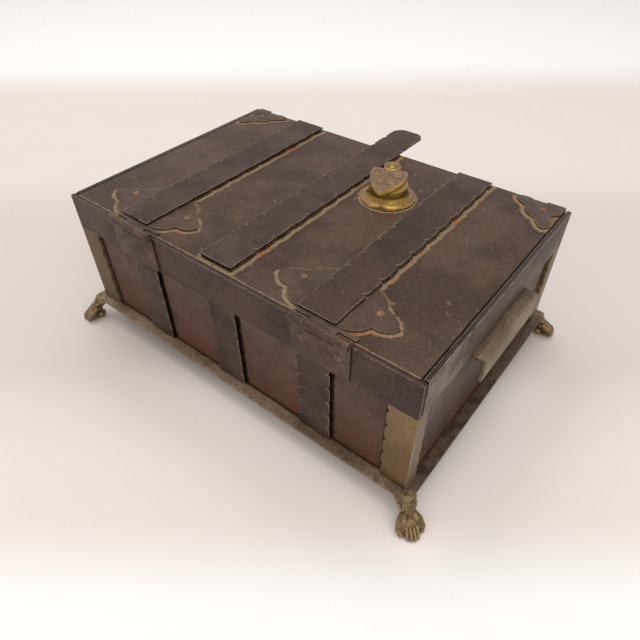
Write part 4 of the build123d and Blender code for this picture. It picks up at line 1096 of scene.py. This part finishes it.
for y, reach, lift in middle_toes:
    tendon = [(28.6, y * 0.45, 13.0), (32.6, y * 0.85, 10.8 + lift)]
    tendon += [(37.0, y, 7.6 + lift), (reach, y * 1.02, 3.4)]
    limb(paw_form, tendon, [0.5, 0.9, 1.35, 1.3])
    lump(paw_form, (reach + 0.8, y * 1.02, 1.5), (1.0, 0.95, 1.6), detail=12)
bmesh.ops.scale(paw_form, vec=(mm, mm, mm), verts=paw_form.verts)
paw_piece = melted("paw_form", paw_form, 0.28 * mm, 2)
paw_mesh = paw_piece.data
bpy.data.objects.remove(paw_piece)
print("paw:", len(paw_mesh.polygons), "faces")

# %% Turn the paw to the four corners
def trimmed_paw(mesh):
    """A copy of the paw, cut flat where it stands on the table."""
    bm = bmesh.new()
    bm.from_mesh(mesh)
    cut = bmesh.ops.bisect_plane(
        bm, geom=bm.verts[:] + bm.edges[:] + bm.faces[:], plane_co=(0, 0, 0),
        plane_no=(0, 0, -1), clear_outer=True,
    )
    rim = [item for item in cut["geom_cut"] if isinstance(item, bmesh.types.BMEdge)]
    bmesh.ops.holes_fill(bm, edges=rim)
    bmesh.ops.triangulate(bm, faces=[face for face in bm.faces if len(face.verts) > 4])
    return mesh_of("paw", bm)


inset = 13 * mm
studs_x = {"left": case_x[0] + inset, "right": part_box("front_band")[1][0] - inset}
studs_y = {"back": case_y[0] + inset, "front": case_y[1] - inset}
one_paw = trimmed_paw(paw_mesh)
mark_relief(one_paw, 10.0, 5)
for wall, out_y in walls.items():
    for end, out_x in ends.items():
        mesh = one_paw.copy()
        askew = radians(6) if (wall, end) == ("back", "right") else 0
        turn_to_corner = Matrix.Rotation(np.arctan2(out_y, out_x) + askew, 4, "Z")
        mesh.transform(Matrix.Translation((studs_x[end], studs_y[wall], 0)) @ turn_to_corner)
        settle(shown(f"{wall}_{end}_paw", mesh, foot_brass), f"{wall}_{end}_foot")
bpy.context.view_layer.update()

# %% [markdown]
# ### The keyhole cover
#
# The cover is a shield-shaped casting with a raised rim, whose steep sides carry a painted
# highlight. Its field carries a plain generic ornament: a small rosette with two pairs of
# curled leaves. The shield itself is the CAD piece, so the ornament only adds to it.

# %% Model the cover
cover_form = merged("keyhole_cover")
field_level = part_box("keyhole_cover")[1][2] - 0.8 * mm
lean = radians(19)
down_cover = Vector((sin(lean), -cos(lean), 0))
across_cover = Vector((cos(lean), sin(lean), 0))
pivot = Vector((sum(span("X", "cover_pivot")) / 2, sum(span("Y", "cover_pivot")) / 2, 0))


def on_cover(u, v, rise=0.0):
    """A point of the cover: u across and v down from the pivot, in millimetres."""
    point = pivot + across_cover * (u * mm) + down_cover * (v * mm)
    return (point.x, point.y, field_level + rise * mm)


rim_line = [(-11.2, 5.6), (-12.5, 9.0), (-12.5, 13.5), (-10.8, 19.0)]
rim_line += [(-8.0, 25.6), (-4.0, 32.4), (0, 37.6)]
rim_line += [(-u, v) for u, v in reversed(rim_line[:-1])]
for (ua, va), (ub, vb) in zip(rim_line, rim_line[1:]):
    for i in range(9):
        share = i / 8
        spot = on_cover(ua + (ub - ua) * share, va + (vb - va) * share, -0.15)
        lump(cover_form, spot, (0.95 * mm, 0.95 * mm, 0.6 * mm), detail=10)
for petal in range(8):
    angle = petal * pi / 4
    spot = on_cover(2.6 * cos(angle), 17 + 2.6 * sin(angle), -0.25)
    aim = across_cover * cos(angle) + down_cover * sin(angle)
    lump(cover_form, spot, (1.0 * mm, 0.6 * mm, 1.9 * mm), aim, detail=12)
lump(cover_form, on_cover(0, 17, 0.0), (1.2 * mm, 1.2 * mm, 0.75 * mm), detail=14)
for side in (-1, 1):
    for start, curl, size in ((12.6, 1, 5.2), (22.0, -1, 4.2)):
        for i in range(26):
            share = i / 25
            angle = share * 4.4
            radius = size * (1 - share * 0.72)
            u = side * (size + 0.6 - radius * cos(angle) + share * 1.1)
            v = start - curl * radius * sin(angle) * 0.9
            width = (0.42 + 0.35 * sin(pi * share)) * mm
            lump(cover_form, on_cover(u, v, -0.3), (width, width, 0.6 * mm), detail=10)
cover_piece = melted("cast_cover", cover_form, 0.22 * mm, 3)
mark_relief(cover_piece.data, 14.0)
cover_piece.data.materials.append(cover_brass)
settle(cover_piece, "keyhole_cover")
print("cover:", len(cover_piece.data.polygons), "faces")

# %% [markdown]
# ## Pieces that keep their CAD shape
#
# The sheets of the walls and everything inside need no new shape, only their finish.

# %% Give the remaining pieces their finish
for node, item in frame["nodes"].items():
    for material_slot in item.material_slots:
        material_slot.material = finish_of(node)
print("finished", len(frame["nodes"]), "nodes")

# %% [markdown]
# ## Floor and light
#
# The box stands on a plain pale floor in soft light. A large lamp hangs overhead, a
# weaker one lights the left side like a window, and a third fills in from the right. A
# dim world lights the rest, but reflections and the camera see a white room. Light and
# shade are painted on the floor: a darker band beyond the box, painted light close in
# front of the box, and lighter paint towards the camera and far away.

# %% Lay the floor
floor_mesh = bpy.data.meshes.new("floor")
corners = [(-4, -4, 0), (4, -4, 0), (4, 4, 0), (-4, 4, 0)]
floor_mesh.from_pydata(corners, [], [(0, 1, 2, 3)])
ground = Finish("pale floor", (815, 740, 695), (825, 750, 705), 0.0, 0.9, 8)
nearness = ground.axis("X") * 0.62 - ground.axis("Y") * 0.785
# Painted shade: a darker band across the floor beyond and beside the box.
painted_shade_band = ground.ease(nearness, -0.28, -0.16) * ground.ease(nearness, 0.11, 0.05)
ground.stain((700, 625, 580), painted_shade_band, 0.8)
# Painted light: the floor grows lighter towards the camera.
ground.stain((860, 785, 740), ground.ease(nearness, 0.1, 0.15))
# Painted light: close in front of the box the floor is lighter, lifting its shadow.
beyond_x = abs(ground.axis("X")) - 152 * mm
beyond_y = abs(ground.axis("Y")) - 106 * mm
painted_light_by_box = ground.ease(beyond_x.at_least(beyond_y), 55 * mm, 12 * mm)
ground.stain((1000, 910, 865), painted_light_by_box * ground.ease(nearness, 0.03, 0.1))
# Painted light: lighter still towards the camera and far away.
ground.stain((1000, 985, 975), ground.ease(nearness, 0.185, 0.245))
ground.stain((1000, 990, 980), ground.ease(nearness, -0.5, -0.7))
floor_piece = shown("floor", floor_mesh, ground.done(0.05, grain=0.0))
print("floor: 8 m wide")

# %% Hang the lamps and light the world
def lamp(name, place, size, power, colour):
    """A soft square lamp that faces the middle of the box."""
    light = bpy.data.lights.new(name, "AREA")
    light.size, light.energy, light.color = size, power, colour
    item = bpy.data.objects.new(name, light)
    item.location = place
    target = Vector((0, 0, 50 * mm))
    item.rotation_euler = (target - Vector(place)).to_track_quat("-Z", "Y").to_euler()
    bpy.context.collection.objects.link(item)


lamp("overhead", (-0.15, 0.1, 1.6), 1.2, 9.0, (1.0, 0.985, 0.97))
lamp("window", (-1.0, 0.1, 1.2), 1.2, 2.0, (1.0, 0.98, 0.95))
lamp("room", (1.1, -0.7, 1.0), 1.3, 4.0, (1.0, 0.98, 0.96))

world = bpy.data.worlds.new("pale room")
world.use_nodes = True
sky = Wiring(world.node_tree)
sky.tree.nodes.clear()
path = sky.node("ShaderNodeLightPath").outputs
mirrored = sky.math("MAXIMUM", path["Is Glossy Ray"], path["Is Transmission Ray"])
seen = mirrored.at_least(path["Is Camera Ray"])
dim, white = 0.66, 1.0
level = seen * (white - dim) + dim
glow = sky.output("ShaderNodeBackground", {"Color": (1.0, 0.985, 0.965, 1), "Strength": level})
sky.node("ShaderNodeOutputWorld", {"Surface": glow})
bpy.context.scene.world = world
bpy.context.scene.view_settings.view_transform = "Standard"
print("lamps:", len(bpy.data.lights))
